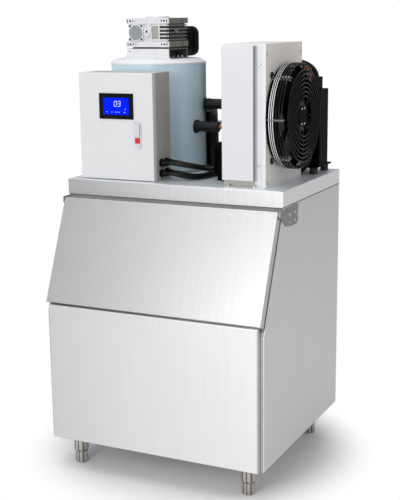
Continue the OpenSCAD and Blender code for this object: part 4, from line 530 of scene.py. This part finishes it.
# hub screws: four bright domes on the fan motor's front, a quarter ellipse turned about each screw's axis
hubScrews = {
    "axis": (15.0, 1125.0), "apart": (11.5, 23.5), "radius": 3.6, "height": 2.4, "seat": 0.3, "rows": 9, "sides": 20,
    "top": math.pi / 2 - 0.05,  # radians, just short of the tip
}


def makeHubScrews(look):
    front = max(corner[0] for corner in nodes["fan_motor"].bound_box) * 1000
    rise = np.linspace(0, look["top"], look["rows"])
    dome = np.stack([front + look["height"] * np.sin(rise), look["radius"] * np.cos(rise)], -1)
    profile = [(front - look["seat"], look["radius"])] + dome.tolist()
    for index, (y, z) in enumerate([(-1, -1), (-1, 1), (1, -1), (1, 1)]):
        axis = (look["axis"][0] + y * look["apart"][0], look["axis"][1] + z * look["apart"][1])
        points = turnedPoints(profile, axis, look["sides"])[::-1]
        gridPiece("hubScrew%d" % index, points / 1000, "cabinet", "zinc")


makeHubScrews(hubScrews)
print("hub screws set")


# screen figures: two slanted seven-bar digits and a row of small marks, raised a hair from the glass
figures = {
    "centre": (-194.5, 1162.0), "face": -153.2, "rise": 0.16, "sink": 0.02,  # X, Z and the glass's Y, millimetres
    "digit": (9.0, 16.0), "bar": 1.5, "cut": 0.6, "space": 13.0, "slant": 0.12, "bars": ["abcdef", "abcdg"],
    "marks": [(30, -16.6, 2.2, 2.2), (-34, -26, 5, 0.9), (-17, -26, 4, 0.9), (-4, -26, 4, 0.9), (3, -26, 4, 0.9),
              (10, -26, 4, 0.9), (29, -26.5, 3, 2.0)],
}


def barCorners(look):  # centre and half size of every bar, in X and Z
    w, h = look["digit"][0] / 2, look["digit"][1] / 2
    b = look["bar"] / 2
    spots = {"a": (0, h, w - b, b), "b": (w, h / 2, b, h / 2 - b), "c": (w, -h / 2, b, h / 2 - b),
             "d": (0, -h, w - b, b), "e": (-w, -h / 2, b, h / 2 - b), "f": (-w, h / 2, b, h / 2 - b),
             "g": (0, 0, w - b, b)}
    bars = [(spots[k][0] + look["space"] * (i - 0.5), *spots[k][1:]) for i, d in enumerate(look["bars"]) for k in d]
    return np.array(bars + [(x, z, w / 2, h / 2) for x, z, w, h in look["marks"]])


def makeFigures(look):  # each bar is an eight-cornered plate with cut corners
    bars = barCorners(look)
    cut = np.minimum(bars[:, 2], bars[:, 3])[:, None] * look["cut"]
    sx, sz = np.array([1, 1, 1, -1, -1, -1, -1, 1]), np.array([-1, 1, 1, 1, 1, -1, -1, -1])
    inX, inZ = np.array([0, 0, 1, 1, 0, 0, 1, 1]), np.array([1, 1, 0, 0, 1, 1, 0, 0])
    x = bars[:, :1] + sx * (bars[:, 2:3] - cut * inX)
    z = bars[:, 1:2] + sz * (bars[:, 3:4] - cut * inZ)
    x = look["centre"][0] + x + look["slant"] * z
    z = look["centre"][1] + z
    back, front = np.full_like(x, look["face"] + look["sink"]), np.full_like(x, look["face"] - look["rise"])
    points = np.stack([np.stack([x, back, z], -1), np.stack([x, front, z], -1)], 1)
    base = np.arange(len(bars))[:, None] * 16
    k = np.arange(8)
    walls = np.stack([k, (k + 1) % 8, 8 + (k + 1) % 8, 8 + k], -1)
    faces = (base[:, :, None] + walls[None]).reshape(-1, 4).tolist()
    faces += (base + (8 + k)[None]).tolist() + (base + k[::-1][None]).tolist()
    mesh = bpy.data.meshes.new("screenFigures")
    mesh.from_pydata((points.reshape(-1, 3) / 1000).tolist(), [], faces)
    mesh.materials.append(finish["screen_white"])
    thing = bpy.data.objects.new("screenFigures", mesh)
    scene.collection.objects.link(thing)
    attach(thing, "door")


makeFigures(figures)
print("screen figures set")
